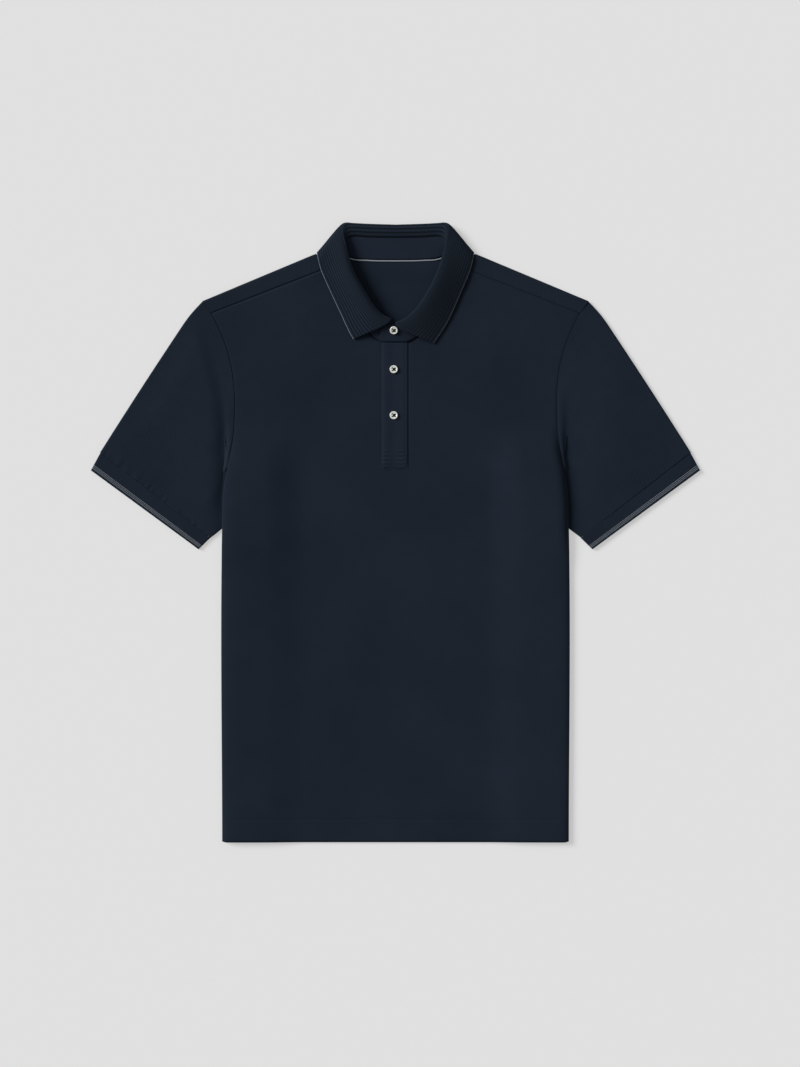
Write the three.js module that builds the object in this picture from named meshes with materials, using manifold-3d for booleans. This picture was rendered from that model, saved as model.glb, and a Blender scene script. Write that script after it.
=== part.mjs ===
// Polo shirt laid flat on its back, buttoned, with the sides of the body folded under.
// Millimetres, +Z up, +Y towards the collar, +X towards the wearer's left.
// The origin is under the middle of the shirt, on the surface that it lies on.
//
// Every cloth piece is a mid-surface worked out from the sizes below and then given its
// thickness, so that the outer face, the inner face and the cut edges close one solid.

import * as THREE from 'three';
import { mergeVertices } from 'three/addons/utils/BufferGeometryUtils.js';
import Module from 'manifold-3d';

const wasm = await Module();
wasm.setup();

// Cloth
const CLOTH = 1.0;            // pique wall
const GAP = 0.3;              // between layers, and at seams
const LAYER = CLOTH + GAP;    // from one layer's middle to the next
const SEAM = GAP / 2;         // each piece stops this far short of the seam line
const RIB_CLOTH = 1.2;        // rib knit of collar and cuffs

// Body
const HEM_Y = -371.4;
const BLOCK_Y = 76;           // rows below run straight down the folded sides
const SIDE_SEAM_X = 157;      // hidden side seam, at the inner edge of the folded flap
const UNDERARM_Y = -5;        // where the hidden armhole meets the side seam
const FLAP_TOP_Y = 66;        // where the armhole leaves the roll on the underside
const SIDE_ROLL = 3.0;        // radius of the front's roll at the side fold
const ROLL_SPREAD = 16;       // how far in from the fold the roll dies away
const SIDE_BULGE = 2.1;       // how far the roll stands above its flat layers
const FLAP_FADE = [108, 156]; // the layers settle between these, in from the flap's edge
const ARMHOLE_FADE = 140;     // by this height the sides lie flat again
const SLEEVE_FADE = [-50, -8]; // the sleeve's layers lie under the sides above these
const SHOULDER_ROLL = 1.7;    // radius of the back's roll over the shoulder
const NECK_ROLL = 1.2;        // the same, where the collar leaf wraps it
const COLLAR_LIFT = 1.7;      // the back panel lies on the leaf behind the neck
const LIFT_Y = [298, 318];
const LIFT_X = [96, 120];
const CHEST_AIR = 0.9;        // air between front and back beside the placket
const CHEST_X = [70, 120];
const CHEST_Y = [80, 120];
const SHOULDER_AIR = 0.6;     // more of it towards the shoulders
const SHOULDER_Y = [250, 300];

// Half width of the body as it shows: the side fold low down, the armhole seam above it
const BODY_EDGE = [
  { y: -380, x: 207.8 }, { y: 4, x: 207.8 }, { y: 39, x: 207.0 }, { y: 60, x: 205.2 },
  { y: 76, x: 203.2 }, { y: 86, x: 200.6 }, { y: 112, x: 195.4 }, { y: 142, x: 193.4 },
  { y: 170, x: 193.6 }, { y: 195, x: 196.5 }, { y: 220, x: 202.5 }, { y: 248, x: 213.6 },
  { y: 262.7, x: 221.5 }, { y: 275.4, x: 230.4 },
];
const SHOULDER_POINT_Y = 275.4;

// Front neckline, from the placket slot out to the forward shoulder seam
const NECKLINE = [
  { y: 0, x: 14 }, { y: 228, x: 14 }, { y: 236, x: 28 }, { y: 243.3, x: 36 },
  { y: 265, x: 48.8 }, { y: 290, x: 60.2 }, { y: 322, x: 69 },
];

// Back neckline, from the middle of the back out to the top of the shoulder
const BACK_NECK = [
  { x: 0, y: 326 }, { x: 32, y: 326.6 }, { x: 53, y: 328.6 }, { x: 66, y: 334.5 }, { x: 76, y: 341.8 },
];

// Shoulder: the fold that makes the outline, and the seam that lies in front of it
const SHOULDER_FOLD = [
  { x: 76, y: 337.2 }, { x: 93, y: 330 }, { x: 104, y: 329.4 }, { x: 117, y: 325.2 },
  { x: 230.4, y: 277.8 },
];
const FORWARD_SEAM = { neckX: 69, neckY: 322, armX: 221.5, armY: 262.7 };

// Placket and buttons
const SLOT_HALF = 14;
const SLOT_BOTTOM_Y = 102;
const SLOT_TOP_Y = 228;
const PLACKET = { left: -16.8, right: 15.6, bottom: 75.7 };
const BUTTON = { radius: 5, height: 2.3, rim: 0.5, dish: 3.5, hole: 0.7, spread: 1.25, x: -2 };
const BUTTON_YS = [242.2, 195.6, 140.5];
const STAND_SLOPE = 0.27;     // lean of the buttoned stand, in radians
const STAND_BUTTON_Z = 8.6;

// Collar, one half, a row for each station from the middle of the back to the front end.
// The columns are the stand's lower edge on the neck seam, the joint of stand and leaf,
// the ridge of the roll, the leaf's tipped edge, and the way that the ridge points, in
// degrees, 0 out behind the neck and 90 straight up.
const COLLAR = [
  [[0, 327, 2.9], [0, 353.5, 4.6], [0, 368.4, 4.3], [0, 324.6, 0.6], 0],
  [[31.8, 327.6, 2.9], [32, 354, 4.7], [32, 369.4, 4.3], [36, 325.4, 0.6], 0],
  [[52, 329.8, 3], [50, 355, 5.4], [52, 370.4, 4.7], [68, 328, 0.6], 8],
  [[64.4, 336, 3.4], [56, 353.5, 6.3], [58, 370.8, 5.6], [90.3, 332.4, 0.6], 22],
  [[71.8, 340.4, 4.6], [59.3, 349.5, 7.6], [62.2, 369.4, 7.4], [93.8, 335.4, 3.9], 48],
  [[71.6, 331.5, 5.6], [60.8, 343.5, 8.6], [65.4, 361.9, 10.2], [92.6, 327.2, 7.4], 72],
  [[68.4, 320.5, 5], [60.6, 335.5, 9.4], [62.5, 346.3, 13], [89.4, 314.8, 7], 88],
  [[63.6, 303, 4], [57, 323, 10], [58.8, 330.2, 14.8], [84.2, 302, 6.2], 92],
  [[58.4, 288.4, 3.4], [52, 309.8, 10.4], [53.4, 314.1, 15.8], [78.5, 289.1, 5.6], 95],
  [[52.6, 275.6, 3.1], [45, 296, 10.6], [46.2, 298.6, 16], [72.8, 276.3, 5.2], 95],
  [[45.8, 261.5, 2.9], [36.8, 282, 10.6], [37.9, 284, 15.8], [67, 263.6, 4.8], 95],
  [[37.4, 247.5, 2.8], [27.5, 268.5, 10.5], [28.7, 269.8, 15.2], [60.9, 251.1, 4.5], 95],
  [[26, 236, 2.7], [15.6, 257, 10.4], [16.4, 256.9, 14.2], [54.1, 238.9, 4.4], 95],
  [[14, 228.8, 2.6], [3.6, 252.6, 10.4], [3.4, 250.2, 13.4], [48, 229, 4.4], 95],
].map(([stand, joint, ridge, edge, roll]) => ({ stand, joint, ridge, edge, roll }));
const COLLAR_LEAN = 2.4;      // the wearer's left leaf lies this much lower, the other higher
const CLOSE_SHIFT = -2.4;     // the front ends meet this far off the middle
const LEAN_FROM = 5;          // the station where the lean starts
const SHIFT_FROM = 10;
const RIB_HEIGHT = 0.5;
const LEAF_RIBS = 14;         // ribs across the leaf
const INNER_RIBS = 4;         // ribs across the part inside the roll
const RIBS_FROM = [3.2, 4.6]; // behind the neck the leaf lies on its ribbed face, left flat

// Sleeve seam at the armhole, from the shoulder fold down to the hidden underarm
const ARMHOLE = [
  { x: 230.9, y: 274.4 }, { x: 222.1, y: 262.4 }, { x: 214.4, y: 248 }, { x: 203.5, y: 220 },
  { x: 197, y: 195 }, { x: 194, y: 170 }, { x: 193.8, y: 142 }, { x: 195.8, y: 112 },
  { x: 201.6, y: 88 }, { x: 205.2, y: 77 }, { x: 203.5, y: 66 }, { x: 196, y: 50 }, { x: 178, y: 28 },
];
const CUFF_SEAM = { outerX: 352.6, outerY: 94.6, innerX: 223.4, innerY: -5.4 };
const CUFF_EDGE = { outerX: 363.2, outerY: 75.2, innerX: 236.4, innerY: -18.2 };
const SLEEVE_HEAD = 3.8;      // how far the sleeve head stands out past a straight edge
const HEAD_ROUND = 0.11;      // the share of the sleeve's length in which it rounds out
const SEAM_DROP = [66, 88];   // the armhole seam goes under the body's edge between these
const VALLEY_Y = [100, 195];  // the valley beside the seam fades out between these
const EASY_STRIP = 24;        // where there's no valley the sleeve leaves the seam gently
const PLEAT_STRIP = [5, 11];  // beside the valley it's a narrow strip: by the underarm, above
const PLEAT_Y = [86, 130];
const SHEER_X = [1, 24];      // the sleeve rises from the valley this far out
const SLEEVE_RISE = 1.3;      // air inside the sleeve, over the two layers that touch

function smooth(from, to, value) {
  const t = THREE.MathUtils.clamp((value - from) / (to - from), 0, 1);
  return t * t * (3 - 2 * t);
}

const mix = THREE.MathUtils.lerp;
const at = (x, y, z) => new THREE.Vector3(x, y, z);
const steps = (count) => Array.from({ length: count + 1 }, (_, i) => i / count);

// The value of one column at a value of another, along straight lines between the rows
function lookUp(table, key, column, value) {
  const last = table.length - 2;
  let row = table.findIndex((entry, i) => i <= last && value <= table[i + 1][key]);
  if (row < 0) row = last;
  const span = table[row + 1][key] - table[row][key];
  const t = THREE.MathUtils.clamp((value - table[row][key]) / span, 0, 1);
  return mix(table[row][column], table[row + 1][column], t);
}

const bodyEdge = (y) => lookUp(BODY_EDGE, 'y', 'x', y);

// Heights of the laid layers. Near a side the flaps lie under the back panel, and by the
// underarm the sleeve's two layers lie under the flaps.
const armholeFade = (y) => 1 - smooth(BLOCK_Y, ARMHOLE_FADE, y);
const sleeveUnder = (y) => 2 * LAYER * smooth(...SLEEVE_FADE, y) * armholeFade(y);
const flapUnder = (y) => 2 * LAYER * armholeFade(y);
const nearSide = (x) => smooth(...FLAP_FADE, Math.abs(x));

function sideBulge(x, y) {
  const inward = bodyEdge(y) - SIDE_ROLL - Math.abs(x);
  return SIDE_BULGE * Math.exp(-((inward / ROLL_SPREAD) ** 2)) * armholeFade(y);
}

function collarLift(x, y) {
  return COLLAR_LIFT * smooth(...LIFT_Y, y) * (1 - smooth(...LIFT_X, Math.abs(x)));
}

function backHeight(x, y) {
  const under = nearSide(x) * (flapUnder(y) + sleeveUnder(y));
  return CLOTH / 2 + under + sideBulge(x, y) + collarLift(x, y);
}

function frontHeight(x, y) {
  const air = CHEST_AIR * smooth(...CHEST_X, Math.abs(x)) * smooth(...CHEST_Y, y);
  const shoulder = SHOULDER_AIR * smooth(...SHOULDER_Y, y);
  return backHeight(x, y) + LAYER + air + shoulder;
}

// A grid of points as two triangles to each cell
function patch(rows) {
  const columns = rows[0].length;
  const index = [];
  for (let i = 0; i < rows.length - 1; i++) {
    for (let j = 0; j < columns - 1; j++) {
      const a = i * columns + j;
      index.push(a, a + 1, a + columns + 1, a, a + columns + 1, a + columns);
    }
  }
  return { points: rows.flat(), index };
}

// Patches joined along the points that they share
function join(...patches) {
  const positions = [];
  const index = [];
  for (const { points, index: cells } of patches) {
    const offset = positions.length / 3;
    for (const p of points) positions.push(p.x, p.y, p.z);
    for (const i of cells) index.push(i + offset);
  }
  const geometry = new THREE.BufferGeometry();
  geometry.setAttribute('position', new THREE.Float32BufferAttribute(positions, 3));
  geometry.setIndex(index);
  return mergeVertices(geometry, 1e-3);
}

// Edges that only one triangle has, in that triangle's direction
function openEdges(index) {
  const seen = new Set();
  for (let i = 0; i < index.length; i += 3) {
    for (let k = 0; k < 3; k++) seen.add(`${index[i + k]}_${index[i + (k + 1) % 3]}`);
  }
  return [...seen].map((edge) => edge.split('_').map(Number)).filter(([a, b]) => !seen.has(`${b}_${a}`));
}

// A mid-surface given its thickness: each face moved half of it along the normals, and a
// wall along every open edge. No point goes below the surface that the shirt lies on.
function thicken(surface, thickness) {
  surface.computeVertexNormals();
  const middle = surface.getAttribute('position');
  const normal = surface.getAttribute('normal');
  const count = middle.count;
  const positions = new Float32Array(count * 6);
  for (let i = 0; i < count; i++) {
    const p = at(0, 0, 0).fromBufferAttribute(middle, i);
    const n = at(0, 0, 0).fromBufferAttribute(normal, i);
    for (const side of [1, -1]) {
      const moved = p.clone().addScaledVector(n, side * thickness / 2);
      moved.z = Math.max(0, moved.z);
      moved.toArray(positions, (side > 0 ? i : i + count) * 3);
    }
  }
  const faces = surface.getIndex().array;
  const index = [];
  for (let i = 0; i < faces.length; i += 3) {
    const [a, b, c] = faces.slice(i, i + 3);
    index.push(a, b, c, a + count, c + count, b + count);
  }
  for (const [a, b] of openEdges(faces)) index.push(b, a, a + count, b, a + count, b + count);
  const solid = new THREE.BufferGeometry();
  solid.setAttribute('position', new THREE.BufferAttribute(positions, 3));
  solid.setIndex(index);
  return solid;
}

// Front and back panels, below the armholes: across from one side seam, round the side
// roll, over the body, round the other roll and back under to the other seam
const PANEL_STEPS = [0, 0.14, 0.28, 0.42, 0.56, 0.68, 0.8, 0.91, 1];
const ROLL_ANGLES = [0.25, 0.5, 0.75, 1].map((t) => t * Math.PI);
const FLAP_STEPS = [0.33, 0.66, 1];
const BODY_ROWS = [
  HEM_Y, -300, -210, -120, -50, -36, -22, -8, 12, 32, 50, 64, BLOCK_Y,
].map((y) => (y - HEM_Y) / (BLOCK_Y - HEM_Y));

function rollStart(y) {
  return bodyEdge(y) - CLOTH / 2 - SIDE_ROLL;
}

function foldedSide(side, radius, height, topCell) {
  const columns = [];
  const rollCentre = (y) => height(rollStart(y), y) - radius;
  for (const angle of ROLL_ANGLES) {
    const top = mix(BLOCK_Y, FLAP_TOP_Y, angle / Math.PI);
    columns.push((t) => {
      const y = mix(HEM_Y, top, t);
      const x = rollStart(y) + radius * Math.sin(angle);
      return at(side * x, y, rollCentre(y) + radius * Math.cos(angle));
    });
  }
  for (const step of FLAP_STEPS) {
    const top = mix(FLAP_TOP_Y, UNDERARM_Y, step);
    columns.push((t) => {
      const y = mix(HEM_Y, top, t);
      return at(side * mix(rollStart(y), SIDE_SEAM_X, step), y, rollCentre(y) - radius);
    });
  }
  return side > 0 ? [topCell, ...columns] : [...columns.reverse(), topCell];
}

function lowerPanel(radius, height) {
  const flatColumn = (fraction, side) => (t) => {
    const y = mix(HEM_Y, BLOCK_Y, t);
    const x = side * mix(SLOT_HALF, rollStart(y), fraction);
    return at(x, y, height(x, y));
  };
  const flat = (side) => PANEL_STEPS.slice(0, -1).map((fraction) => flatColumn(fraction, side));
  const folded = (side) => foldedSide(side, radius, height, flatColumn(1, side));
  const across = [...folded(-1), ...flat(-1).reverse(), ...flat(1), ...folded(1)];
  return patch(BODY_ROWS.map((t) => across.map((column) => column(t))));
}

// The armhole edge of a panel: it starts where the roll does, and soon reaches the seam
const SEAM_REACHED_Y = 86;

function armholeEdge(y) {
  const onSeam = smooth(BLOCK_Y, SEAM_REACHED_Y, y);
  return mix(rollStart(y), bodyEdge(y) - SEAM, onSeam);
}

// Rows of the front's upper halves, by where they start on the slot and the neckline
const TOP_ROW_Y = FORWARD_SEAM.neckY - SEAM;
const FRONT_ROWS = [
  BLOCK_Y, SLOT_BOTTOM_Y, 130, 160, 195, SLOT_TOP_Y, 236, 243.3, 265, 290, TOP_ROW_Y,
];

function frontPanel() {
  const half = (side) => patch(FRONT_ROWS.map((innerY) => {
    const t = (innerY - BLOCK_Y) / (TOP_ROW_Y - BLOCK_Y);
    const outerY = mix(BLOCK_Y, FORWARD_SEAM.armY - SEAM, t);
    const row = PANEL_STEPS.map((k) => {
      const x = side * mix(lookUp(NECKLINE, 'y', 'x', innerY), armholeEdge(outerY), k);
      const y = mix(innerY, outerY, k);
      return at(x, y, frontHeight(x, y));
    });
    return side > 0 ? row : row.reverse();
  }));
  const slotFoot = patch([BLOCK_Y, SLOT_BOTTOM_Y].map((y) =>
    [-SLOT_HALF, SLOT_HALF].map((x) => at(x, y, frontHeight(x, y)))));
  return thicken(join(lowerPanel(SIDE_ROLL, frontHeight), half(-1), half(1), slotFoot), CLOTH);
}

// The back panel goes up to the neck seam in the middle, and over each shoulder. Where
// each column ends is a share of the half width.
const BACK_TOPS = [0.14, 0.23, 0.29, 0.33, 0.405, 0.455, 0.6, 0.8, 1];
const NECK_CORNER = 3;        // the column that ends where neck seam and shoulder fold meet
const BACK_ROWS = [0, 0.1, 0.22, 0.36, 0.5, 0.64, 0.76, 0.86, 0.93, 1];

function shoulderRoll(x) {
  return mix(NECK_ROLL, SHOULDER_ROLL, smooth(95, 125, x));
}

// A column of the back: it starts on the lower panel's column, and ends on the neck seam
// or at the start of the shoulder's roll
function backColumn(column, side) {
  const top = BACK_TOPS[column];
  const topX = top * (armholeEdge(SHOULDER_POINT_Y) + SEAM);
  const topY = column <= NECK_CORNER
    ? lookUp(BACK_NECK, 'x', 'y', topX) - SEAM
    : lookUp(SHOULDER_FOLD, 'x', 'y', topX) - shoulderRoll(topX) - CLOTH / 2;
  return (t) => {
    const y = mix(BLOCK_Y, topY, t);
    const low = mix(SLOT_HALF, rollStart(BLOCK_Y), PANEL_STEPS[column]);
    const sewn = column === BACK_TOPS.length - 1 ? armholeEdge(y) : mix(low, topX, t);
    const x = side * sewn;
    return at(x, y, backHeight(x, y));
  };
}

function shoulderWrap(side) {
  const columns = BACK_TOPS.slice(NECK_CORNER).map((top, i) => {
    const start = backColumn(i + NECK_CORNER, side)(1);
    const k = (top - BACK_TOPS[NECK_CORNER]) / (1 - BACK_TOPS[NECK_CORNER]);
    const seam = at(side * mix(FORWARD_SEAM.neckX, FORWARD_SEAM.armX, k),
      mix(FORWARD_SEAM.neckY, FORWARD_SEAM.armY, k) + SEAM, 0);
    seam.z = frontHeight(seam.x, seam.y);
    const radius = shoulderRoll(Math.abs(start.x));
    const outward = start.clone().sub(seam).setZ(0).normalize();
    const arc = steps(4).map((t) => {
      const angle = mix(-Math.PI / 2, Math.PI / 2, t);
      return start.clone().addScaledVector(outward, radius * Math.cos(angle))
        .setZ(start.z + radius + radius * Math.sin(angle));
    });
    return [...arc, arc[4].clone().lerp(seam, 0.5), seam];
  });
  if (side < 0) columns.reverse();
  return patch(columns[0].map((_, i) => columns.map((column) => column[i])));
}

function backPanel() {
  const half = (side) => BACK_TOPS.map((_, column) => backColumn(column, side));
  const columns = [...half(-1).reverse(), ...half(1)];
  const upper = patch(BACK_ROWS.map((t) => columns.map((column) => column(t))));
  const lower = lowerPanel(SIDE_ROLL - LAYER, backHeight);
  return thicken(join(lower, upper, shoulderWrap(-1), shoulderWrap(1)), CLOTH);
}

// Sleeve: a flattened tube. f runs from the outer fold (0) to the lower fold (1), a from
// the armhole (0) to the cuff seam (1).
const SLEEVE_ROWS = [0, 0.03, 0.07, 0.12, 0.18, 0.27, 0.4, 0.55, 0.7, 0.85, 1];
const LAYER_STEPS = [0, 0.06, 0.14, 0.26, 0.38, 0.5, 0.6, 0.7, 0.77, 0.83, 0.88, 0.94, 1];

const acrossCuff = (line, f) => at(mix(line.outerX, line.innerX, f), mix(line.outerY, line.innerY, f), 0);

function sleevePlan(f, a) {
  const seat = f * (ARMHOLE.length - 1);
  const row = Math.min(Math.floor(seat), ARMHOLE.length - 2);
  const t = seat - row;
  const [above, below] = [ARMHOLE[row], ARMHOLE[row + 1]];
  const head = at(mix(above.x, below.x, t), mix(above.y, below.y, t), 0);
  const foot = acrossCuff(CUFF_SEAM, f);
  const along = foot.clone().sub(head);
  const point = head.clone().addScaledVector(along, a);
  const outward = at(-along.y, along.x, 0).normalize();
  const crown = SLEEVE_HEAD * smooth(0, HEAD_ROUND, a) * (1 - 0.9 * a * a) * (1 - smooth(0, 0.45, f));
  return { point: point.addScaledVector(outward, crown), head, run: a * along.length() };
}

// Heights of the sleeve's two layers: at the armhole they meet the panels, beside it they
// dip into a valley that deepens towards the underarm, and beyond it they lie easy
function sleeveHeights(f, a) {
  const { point, head, run } = sleevePlan(f, a);
  const onSeam = smooth(...SEAM_DROP, head.y);
  const seamBack = mix(CLOTH / 2, backHeight(head.x, head.y), onSeam);
  const seamFront = mix(CLOTH / 2 + LAYER, frontHeight(head.x, head.y), onSeam);
  const low = 1 - smooth(...VALLEY_Y, head.y);
  const strip = mix(EASY_STRIP, mix(...PLEAT_STRIP, smooth(...PLEAT_Y, head.y)), low);
  const away = smooth(strip * 0.3, strip * 1.3, run);
  const [valleyLow, valleyHigh] = [60, 110];
  const valleyX = bodyEdge(Math.min(point.y, valleyHigh)) + 8 * smooth(valleyLow, valleyHigh, point.y);
  const easy = SLEEVE_RISE * mix(1, smooth(...SHEER_X, point.x - valleyX), low);
  const back = mix(seamBack, CLOTH / 2, away);
  const front = mix(seamFront, CLOTH / 2 + LAYER + easy, away);
  return { back, front: Math.max(front, back + LAYER) };
}

// A closed ring of points through a flattened tube: along the top layer, round the lower
// fold, back along the bottom layer and round the outer fold
function tubeRing(plan, heights, steps) {
  const top = [];
  const bottom = [];
  for (const f of steps) {
    const { x, y } = plan(f);
    const { back, front } = heights(f);
    top.push(at(x, y, front));
    bottom.push(at(x, y, back));
  }
  const rounded = (from, over, under) => {
    const radius = (over.z - under.z) / 2;
    const outward = over.clone().sub(from).setZ(0).normalize();
    return [0.25, 0.5, 0.75].map((t) => under.clone().lerp(over, 0.5)
      .addScaledVector(outward, radius * Math.sin(t * Math.PI))
      .setZ(under.z + radius + radius * Math.cos(t * Math.PI)));
  };
  const last = top.length - 1;
  const lowerFold = rounded(top[last - 1], top[last], bottom[last]);
  const outerFold = rounded(top[1], top[0], bottom[0]).reverse();
  return [...top, ...lowerFold, ...bottom.reverse(), ...outerFold, top[0].clone()];
}

function mirrored(rows, side) {
  if (side > 0) return rows;
  return rows.map((row) => row.map((p) => at(-p.x, p.y, p.z)).reverse());
}

const tube = (rings, side, thickness) =>
  thicken(join(patch(mirrored(rings.map((ring) => ring.reverse()), side))), thickness);

function sleeve(side) {
  const shortOfSeam = 0.998;
  const rings = SLEEVE_ROWS.map((a) => tubeRing(
    (f) => sleevePlan(f, a * shortOfSeam).point, (f) => sleeveHeights(f, a), LAYER_STEPS));
  return tube(rings, side, CLOTH);
}

const CUFF_ROWS = [0.02, 0.35, 0.7, 1];
const CUFF_STEPS = [0, 0.06, 0.2, 0.4, 0.6, 0.8, 0.94, 1];

function cuff(side) {
  const heights = { back: RIB_CLOTH / 2, front: RIB_CLOTH / 2 + LAYER + SLEEVE_RISE };
  const rings = CUFF_ROWS.map((a) => tubeRing(
    (f) => acrossCuff(CUFF_SEAM, f).lerp(acrossCuff(CUFF_EDGE, f), a), () => heights, CUFF_STEPS));
  return tube(rings, side, RIB_CLOTH);
}

// Collar curves: each named line of the table as a smooth curve round half the neck
const STATIONS = COLLAR.length - 1;
const collarLine = Object.fromEntries(['stand', 'joint', 'ridge', 'edge'].map((name) =>
  [name, new THREE.CatmullRomCurve3(COLLAR.map((row) => at(...row[name])))]));

const leanAt = (station) => COLLAR_LEAN * smooth(LEAN_FROM, STATIONS, station);
const shiftAt = (station) => CLOSE_SHIFT * smooth(SHIFT_FROM, STATIONS, station);

function collarPoint(name, station, side) {
  const p = collarLine[name].getPoint(station / STATIONS);
  return at(side * p.x + shiftAt(station), p.y - side * leanAt(station), p.z);
}

function rollAngle(station) {
  const row = Math.min(Math.floor(station), STATIONS - 1);
  return THREE.MathUtils.degToRad(mix(COLLAR[row].roll, COLLAR[row + 1].roll, station - row));
}

// How the leaf bends behind the neck and in front: plump is the roll's size, rise how far
// the part inside it bows up, flat the length that lies flat by the edge
const LEAF_SHAPE = {
  behind: { plump: 4, rise: 3.4, flat: 16, edgeRise: 0 },
  front: { plump: 6.5, rise: 2, flat: 17, edgeRise: 0.6 },
};

function bezier(a, b, c, d, t) {
  return new THREE.CubicBezierCurve3(a, b, c, d).getPoint(t);
}

// One section of the leaf at a station: from the joint up to the ridge, and down to the edge
function leafSection(station, side) {
  const joint = collarPoint('joint', station, side);
  const ridge = collarPoint('ridge', station, side);
  const edge = collarPoint('edge', station, side);
  const nearby = 0.2;
  const ahead = collarPoint('ridge', Math.min(station + nearby, STATIONS), side);
  const behind = collarPoint('ridge', Math.max(station - nearby, 0), side);
  const along = ahead.sub(behind).normalize();
  if (station === 0) along.set(side, 0, 0);
  const angle = rollAngle(station);
  const sideways = at(-along.y, along.x, 0).normalize().multiplyScalar(side);
  const crest = sideways.multiplyScalar(Math.cos(angle)).add(at(0, 0, Math.sin(angle)));
  const across = along.clone().cross(crest).multiplyScalar(-side).normalize();
  const over = smooth(3, 6, station);
  const plump = mix(LEAF_SHAPE.behind.plump, LEAF_SHAPE.front.plump, over);
  const rise = mix(LEAF_SHAPE.behind.rise, LEAF_SHAPE.front.rise, over);
  const flat = mix(LEAF_SHAPE.behind.flat, LEAF_SHAPE.front.flat, over);
  const edgeRise = mix(LEAF_SHAPE.behind.edgeRise, LEAF_SHAPE.front.edgeRise, over);
  const fromJoint = joint.clone().lerp(ridge, 0.3).add(at(0, 0, rise));
  const beforeRidge = ridge.clone().addScaledVector(across, -plump);
  const afterRidge = ridge.clone().addScaledVector(across, plump);
  const beforeEdge = ridge.clone().sub(edge).setLength(flat).setZ(edgeRise).add(edge);
  return {
    inner: (t) => bezier(joint, fromJoint, beforeRidge, ridge, t),
    outer: (t) => bezier(ridge, afterRidge, beforeEdge, edge, t),
  };
}

const LEAF_STATIONS = [
  0, 0.5, 1, 1.5, 2, 2.5, 3, 3.35, 3.7, 4, 4.3, 4.65,
  5, 5.5, 6, 6.7, 7.4, 8.2, 9, 9.8, 10.6, 11.4, 12.2, 13,
];
const PLAIN_EVERY = 4;

// The leaf's ribbed face has a crest and a furrow for each rib; its inner face is plain,
// and has every fourth of the same columns
function collarLeaf() {
  const clear = 0.03;
  const inner = steps(INNER_RIBS * 2).slice(0, -1).map((t) => ({ part: 'inner', t: mix(clear, 1, t) }));
  const outer = steps(LEAF_RIBS * 2).map((t) => ({ part: 'outer', t }));
  const columns = [...inner, ...outer];
  const back = LEAF_STATIONS.slice(1).reverse().map((station) => ({ station, side: -1 }));
  const sections = [...back, ...LEAF_STATIONS.map((station) => ({ station, side: 1 }))];
  const rows = sections.map(({ station, side }) => {
    const section = leafSection(station, side);
    return columns.map(({ part, t }) => section[part](t));
  });
  const surface = join(patch(rows));
  surface.computeVertexNormals();
  const normal = surface.getAttribute('normal');
  const points = [];
  const place = (i, j, offset) => {
    const n = at(0, 0, 0).fromBufferAttribute(normal, i * columns.length + j);
    const p = rows[i][j].clone().addScaledVector(n, offset);
    p.z = Math.max(0, p.z);
    return points.push(p) - 1;
  };
  const ribbed = rows.map((row, i) => row.map((_, j) => {
    const shows = j < inner.length ? 1 : smooth(...RIBS_FROM, sections[i].station);
    return place(i, j, RIB_CLOTH / 2 + (j % 2) * RIB_HEIGHT * shows);
  }));
  const plain = rows.map((row, i) =>
    row.map((_, j) => j).filter((j) => j % PLAIN_EVERY === 0).map((j) => place(i, j, -RIB_CLOTH / 2)));
  return closeLeaf(points, ribbed, plain);
}

// The two faces of the leaf and the four edges between them, as one closed solid
function closeLeaf(points, ribbed, plain) {
  const index = [];
  const cell = (a, b, c, d) => index.push(a, b, c, a, c, d);
  const lastRow = ribbed.length - 1;
  const lastRib = ribbed[0].length - 1;
  const lastPlain = plain[0].length - 1;
  for (let i = 0; i < lastRow; i++) {
    const [here, next] = [ribbed[i], ribbed[i + 1]];
    const [under, nextUnder] = [plain[i], plain[i + 1]];
    for (let j = 0; j < lastRib; j++) cell(here[j], here[j + 1], next[j + 1], next[j]);
    for (let j = 0; j < lastPlain; j++) cell(under[j], nextUnder[j], nextUnder[j + 1], under[j + 1]);
    cell(here[0], next[0], nextUnder[0], under[0]);
    cell(here[lastRib], under[lastPlain], nextUnder[lastPlain], next[lastRib]);
  }
  for (const [i, turned] of [[0, false], [lastRow, true]]) {
    for (let k = 0; k < lastPlain; k++) {
      const fan = ribbed[i].slice(k * PLAIN_EVERY, (k + 1) * PLAIN_EVERY + 1);
      const faces = fan.slice(1).map((corner, n) => [plain[i][k], corner, fan[n]]);
      faces.push([plain[i][k], plain[i][k + 1], fan[PLAIN_EVERY]]);
      for (const [a, b, c] of faces) index.push(a, turned ? c : b, turned ? b : c);
    }
  }
  const solid = new THREE.BufferGeometry().setFromPoints(points);
  solid.setIndex(index);
  return solid;
}

// Stand: from the wearer's right front end, under the other, round the neck to the
// wearer's left front end, which laps over and holds the top button
const UNDER_END = [
  { low: [-4, 228.8, 2.2], high: [1, 248.5, 7.8] },
  { low: [6, 228.8, 2.2], high: [8, 248, 7.6] },
  { low: [13.2, 230, 2.2], high: [13.2, 245, 7.0] },
];
const OVER_END = [
  { low: [4, 228.8, 4.0], high: [-1.5, 250, 9.6] },
  { low: [-8, 228.8, 4.0], high: [-9, 248.6, 9.2] },
  { low: [-15.5, 229.4, 4.0], high: [-14, 247, 8.8] },
  { low: [-18.4, 233, 4.9], high: [-17.6, 243, 7.7] },
];
const STAND_STATIONS = [0, 1, 2, 2.6, 3.2, 3.8, 4.4, 5, 6, 7, 8, 9, 10, 11, 12, 13];

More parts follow.
